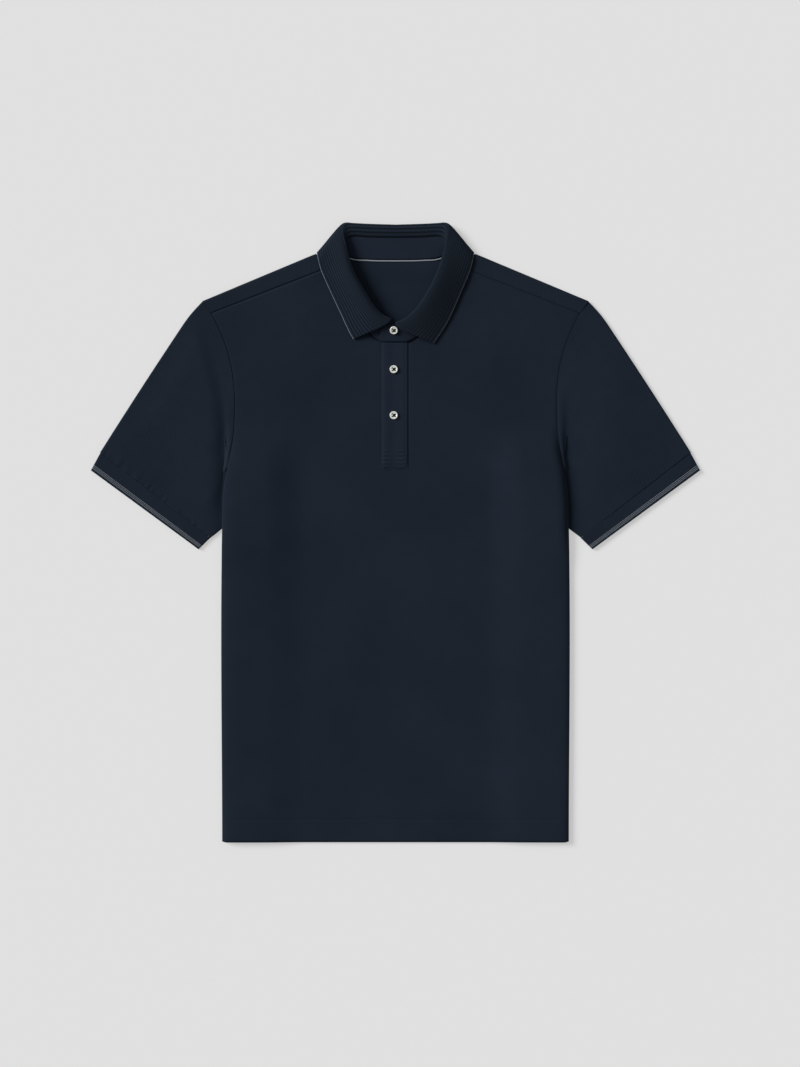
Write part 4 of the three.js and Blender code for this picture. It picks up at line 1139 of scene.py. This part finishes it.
def placket_lift(x, y):
    """The upper strip lies one layer over the front, and sinks to it where it is sewn
    down along its right side and at its foot."""
    side = 1 - smooth(12.6, PLACKET_RIGHT, x)
    foot = smooth(PLACKET_BOTTOM, PLACKET_BOTTOM + 7, y)
    return 0.12 + (LAYER - 0.12) * side * foot


def strip(x0, x1, y0, y1, lift, relief=lambda x, y: 0 * x * y):
    """A flat strip that lies on the front's heights, lifted by one layer or none."""
    x = np.linspace(x0, x1, 65)[None, :]
    y = np.unique(np.concatenate([np.linspace(y0, min(y1, 100), 61), np.linspace(max(y0, 100), y1, 81)]))[:, None]
    points = stack(x, y, front_height(x, y) + (lift(x, y) if callable(lift) else lift))
    return patch(points, points[:, :, :2], relief(x, y))


placket_under = cloth_piece(
    "placket_under_cloth",
    [strip(GAP - SLOT_HALF, SLOT_HALF - GAP, SLOT_BOTTOM_Y + GAP, SLOT_TOP_Y - GAP, 0.0)],
    CLOTH, placket_knit, "placket_under")
placket_upper = cloth_piece(
    "placket_upper_cloth",
    [strip(PLACKET_LEFT, PLACKET_RIGHT, PLACKET_BOTTOM, SLOT_TOP_Y - GAP, placket_lift, placket_relief)],
    CLOTH, placket_knit, "placket_upper")

# %% [markdown]
# The buttons are off-white shell with four holes and a dark thread. A button is turned,
# so its profile carried round an axis gives the rim and the underside. The middle has
# holes, which no turned shape has. Each quarter of it is a fan of straight lines from
# the rim of its hole out to the quarter's own border, and the border's points on the
# circle are the angles at which the rim is turned.

# %% Button shapes
RADIUS, HEIGHT, DISH, HOLE, SPREAD = 4.8, 2.3, 3.4, 0.7, 1.25
BUTTON_X = -2.0
BUTTON_YS = [242.2, 195.6, 140.5]
DISH_Z = HEIGHT - 0.5


def quarter_fan(angles, shares):
    """The first quarter of the dish: points at the shares of the way from the hole's rim
    to the border, along a ray at each angle. The border is the nearest of the two axes
    and the circle of the dish."""
    ray = np.stack([np.cos(angles), np.sin(angles)], -1)
    with np.errstate(divide="ignore"):
        to_x = np.where(ray[:, 0] < -1e-9, -SPREAD / ray[:, 0], np.inf)
        to_y = np.where(ray[:, 1] < -1e-9, -SPREAD / ray[:, 1], np.inf)
    along = SPREAD * ray.sum(1)
    to_circle = -along + np.sqrt(along**2 + DISH**2 - 2 * SPREAD**2)
    far = np.minimum(np.minimum(to_x, to_y), to_circle)
    reach = mix(HOLE, far[:, None], shares[None, :])
    return SPREAD + ray[:, None, :] * reach[:, :, None]


def button_sheet():
    """The whole button as quads: four quarters above and below, the walls of the holes,
    and the turned rim."""
    corner = SPREAD / np.sqrt(DISH**2 - SPREAD**2)
    on_axis = np.arctan2(-SPREAD, np.sqrt(DISH**2) - SPREAD)
    special = [np.pi * 1.25, on_axis, np.pi / 2 - on_axis]
    angles = np.unique(np.round(np.concatenate([np.linspace(-np.pi * 0.75, np.pi * 1.25, 49), special]), 9))
    angles = angles[(angles >= -np.pi * 0.75 - 1e-6) & (angles <= np.pi * 1.25 + 1e-6)]
    shares = np.linspace(0, 1, 7)
    fan = quarter_fan(angles, shares)
    patches = []
    for sx, sy in ((1, 1), (-1, 1), (-1, -1), (1, -1)):
        turn = slice(None) if sx * sy > 0 else slice(None, None, -1)
        flat = (fan * [sx, sy])[turn]
        top = stack(flat[..., 0], flat[..., 1], np.full(flat.shape[:2], DISH_Z))
        top[:, 0, 2] -= 0.12
        bottom = stack(flat[..., 0], flat[..., 1], np.zeros(flat.shape[:2]))
        wall = np.stack([bottom[:, 0], top[:, 0]], 1)
        patches += [patch(top[:, ::-1], flat[:, ::-1]), patch(bottom, flat), patch(wall, flat[:, :2])]
    first = fan[:, -1]
    on_circle = first[np.abs(np.hypot(first[:, 0], first[:, 1]) - DISH) < 1e-6]
    quarter = np.sort(np.arctan2(on_circle[:, 1], on_circle[:, 0]))
    mirrored = np.concatenate([quarter, np.pi - quarter, np.pi + quarter, 2 * np.pi - quarter])
    turned = np.unique(np.round(mirrored % (2 * np.pi), 7))
    turned = np.append(turned, turned[0] + 2 * np.pi)
    profile = np.array([
        (DISH, 0), (RADIUS - 0.5, 0), (RADIUS - 0.15, 0.25), (RADIUS, 0.7), (RADIUS, 1.35),
        (RADIUS - 0.12, 1.8), (RADIUS - 0.4, 2.15), (RADIUS - 0.8, HEIGHT), (RADIUS - 1.1, 2.2),
        (RADIUS - 1.35, 1.9), (DISH, DISH_Z)])
    rim = stack(profile[None, :, 0] * np.cos(turned)[:, None], profile[None, :, 0] * np.sin(turned)[:, None],
                np.broadcast_to(profile[None, :, 1], (len(turned), len(profile))))
    patches.append(patch(rim, rim[:, :, :2]))
    return joined(patches)


def solid_volume(points, quads):
    """The volume that the quads close, by the sum of their cones from the origin. It is
    negative if they face inwards."""
    a, b, c, d = (points[quads[:, k]] for k in range(4))
    return float((np.cross(a, b) * c + np.cross(a, c) * d).sum() / 6)


button_form = button_sheet()
button_quads = button_form["quads"]
print("button volume", round(solid_volume(button_form["points"], button_quads), 1), "mm3")

# %% [markdown]
# Shell is smooth, a little glossy and faintly clouded. It has a clear coat, and soft
# bands of warmer and cooler white.

# %% Button material and buttons
def shell_material():
    """Mother-of-pearl white: noise stretched into bands mixes a warm and a cool white."""
    material = bpy.data.materials.new("shell")
    material.use_nodes = True
    tree = material.node_tree
    shader = tree.nodes["Principled BSDF"]
    place = add_node(tree, "ShaderNodeTexCoord").outputs["Object"]
    clouds = add_node(tree, "ShaderNodeTexNoise", {"Vector": place, "Scale": 420, "Detail": 3, "Distortion": 1.5})
    colour = mixed(tree, clouds.outputs[0], shade(198, 200, 192), shade(232, 234, 228))
    tree.links.new(colour, shader.inputs["Base Color"])
    shader.inputs["Roughness"].default_value = 0.28
    shader.inputs["Coat Weight"].default_value = 0.4
    return material


def tilted(points, angle):
    """Points turned about the X axis."""
    c, s = np.cos(angle), np.sin(angle)
    return stack(points[..., 0], points[..., 1] * c - points[..., 2] * s, points[..., 1] * s + points[..., 2] * c)


shell_white = shell_material()
buttons = []
button_seats = []
for number, y in enumerate(BUTTON_YS, 1):
    low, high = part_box(f"button_{number}")
    on_stand = number == 1
    seat_z = 8.6 if on_stand else float(front_height(np.array(BUTTON_X), np.array(y))) + LAYER + CLOTH / 2 + GAP
    seat = np.array([BUTTON_X, y, seat_z])
    lean = 0.27 if on_stand else 0.0
    button_seats.append((seat, lean))
    points = tilted(button_form["points"], lean) + seat
    piece = new_piece(f"button_{number}_shell", points, button_quads, button_form["measure"], shell_white)
    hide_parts(f"button_{number}")
    buttons.append(piece)
    print("button", number, "node z", round(low.z * 1000, 2), round(high.z * 1000, 2), "seat", round(seat_z, 2))

# %% [markdown]
# Sewing is many small stitches, each a short thread that goes down at both ends. One
# low-poly stitch is worked out once, and a whole row is that stitch moved and turned to
# every place by one array sum. Real loops of thread would not be seen at this size.

# %% Stitches
def stitch_shape(length, radius, sides=6, rings=5):
    """A stitch along X: a round thread that is highest in the middle and dips at both
    ends, where it narrows to a point."""
    k = np.linspace(-1, 1, rings)[:, None]
    turn = np.linspace(0, 2 * np.pi, sides, endpoint=False)[None, :]
    thin = np.sqrt(1.02 - k**2)
    rise = radius * (1.2 - 1.9 * k**2)
    return stack(length / 2 * k + 0 * turn, radius * thin * np.cos(turn), rise + radius * thin * np.sin(turn))


def stitch_faces(rings, sides, count):
    """The quads of every stitch, with the numbers of its own points."""
    i = np.arange(rings * sides).reshape(rings, sides)
    j = np.roll(i, -1, axis=1)
    one = np.stack([i[:-1], i[1:], j[1:], j[:-1]], -1).reshape(-1, 4)
    caps = np.array([[0, 1, 2, 3], [3, 4, 5, 0], [24, 29, 28, 27], [27, 26, 25, 24]])
    one = np.concatenate([one, caps])
    return (one[None] + (np.arange(count) * rings * sides)[:, None, None]).reshape(-1, 4)


def stitch_row(path, pitch, height, length=None, radius=0.24):
    """Stitches along a path seen from above: one every pitch, on the height of the cloth
    that is given as a function of x and y."""
    run = np.concatenate([[0], np.cumsum(np.linalg.norm(np.diff(path, axis=0), axis=1))])
    count = max(1, int(run[-1] / pitch))
    middle = (np.arange(count) + 0.5) * run[-1] / count
    x, y = (np.interp(middle, run, path[:, k]) for k in range(2))
    ends = [np.stack([np.interp(middle + d, run, path[:, k]) for k in range(2)], -1) for d in (-0.9, 0.9)]
    ahead = np.stack([ends[1][:, 0] - ends[0][:, 0], ends[1][:, 1] - ends[0][:, 1],
                      height(*ends[1].T) - height(*ends[0].T)], -1)
    ahead = unit(ahead)
    level = unit(stack(-ahead[:, 1], ahead[:, 0], 0 * x))
    up = np.cross(ahead, level)
    form = stitch_shape(length or pitch * 0.72, radius).reshape(-1, 3)
    seat = stack(x, y, height(x, y))
    return seat[:, None] + (form[None, :, :1] * ahead[:, None] + form[None, :, 1:2] * level[:, None]
                            + form[None, :, 2:] * up[:, None])


def sewn(name, rows, material):
    """All the rows of one seam as one mesh."""
    points = np.concatenate([row.reshape(-1, 3) for row in rows])
    faces = stitch_faces(5, 6, sum(len(row) for row in rows))
    return new_piece(name, points, faces, points[:, :2], material)


def straight(x0, y0, x1, y1):
    """A straight path with points close enough to follow the cloth."""
    return np.linspace([x0, y0], [x1, y1], 40)


navy_thread = cloth_material("navy thread", shade(30, 38, 50), shade(44, 52, 64), cell=0.5, bump=0.05)
dark_thread = cloth_material("button thread", shade(5, 6, 5), shade(12, 13, 11), cell=0.5, bump=0.05)


def on_front(x, y):
    """The top of the front panel."""
    return front_height(x, y) + CLOTH / 2


def on_placket(x, y):
    """The top of the upper placket."""
    return front_height(x, y) + placket_lift(x, y) + placket_relief(x, y) + CLOTH / 2


hem = sewn("hem_stitches", [
    stitch_row(straight(-204, y, 204, y), 3.0, on_front) for y in (-346.0, -341.5)
], navy_thread)
placket_rows = [straight(TOPSTITCH_X, 98, TOPSTITCH_X, 226)]
placket_rows += [straight(PLACKET_LEFT + 1.6, y, TOPSTITCH_X, y) for y in BOX_ROWS_Y]
placket_sewing = sewn("placket_stitches", [stitch_row(path, 2.6, on_placket) for path in placket_rows], navy_thread)

# %% [markdown]
# A button is sewn on with two crossed bands of dark thread that go down through its
# holes, and under it lies the buttonhole, a slit with close stitches along both sides.
# Only the ends of the buttonhole can be seen.

# %% Button threads and buttonholes
def arch(x0, y0, x1, y1, top, radius, sides=8):
    """A thread from one hole to another: it comes up, crosses level and goes down. Its
    path is an ellipse's upper half, squared off a little."""
    k = np.linspace(0, np.pi, 17)
    away = -np.sign(np.cos(k)) * np.abs(np.cos(k)) ** 0.8
    path = stack(mix(x0, x1, (away + 1) / 2), mix(y0, y1, (away + 1) / 2), top * np.sin(k) ** 0.35)
    ahead = unit(np.gradient(path, axis=0))
    level = unit(np.array([y0 - y1, x1 - x0, 0.0]))
    up = np.cross(ahead, level)
    turn = np.linspace(0, 2 * np.pi, sides, endpoint=False)
    return path[:, None] + radius * (np.cos(turn)[:, None] * level + np.sin(turn)[None, :, None] * up[:, None])


def tube_quads(rings, sides, count):
    """The side quads of several tubes that are closed round and open at their ends."""
    i = np.arange(rings * sides).reshape(rings, sides)
    j = np.roll(i, -1, axis=1)
    one = np.stack([i[:-1], j[:-1], j[1:], i[1:]], -1).reshape(-1, 4)
    return (one[None] + (np.arange(count) * rings * sides)[:, None, None]).reshape(-1, 4)


threads = []
for seat, lean in button_seats:
    for strand in (-0.36, 0.36):
        for turned in (1, -1):
            reach = SPREAD + 0.5
            ends = np.array([[-reach, -reach * turned], [reach, reach * turned]])
            ends = ends + unit(np.array([turned, -1.0])) * strand
            thread = arch(*ends.ravel(), 0.6, 0.4) + [0, 0, DISH_Z - 0.25]
            threads.append(tilted(thread, lean) + seat)
threads = np.array(threads)
button_sewing = new_piece(
    "button_threads", threads.reshape(-1, 3), tube_quads(17, 8, len(threads)), threads.reshape(-1, 3)[:, :2], dark_thread)

holes = []
for seat, lean in button_seats[1:]:
    for dx in (-0.55, 0.55):
        holes.append(stitch_row(straight(seat[0] + dx, seat[1] - 6.6, seat[0] + dx, seat[1] + 7.2), 0.55,
                                on_placket, length=1.1, radius=0.22))
buttonholes = sewn("buttonholes", holes, navy_thread)
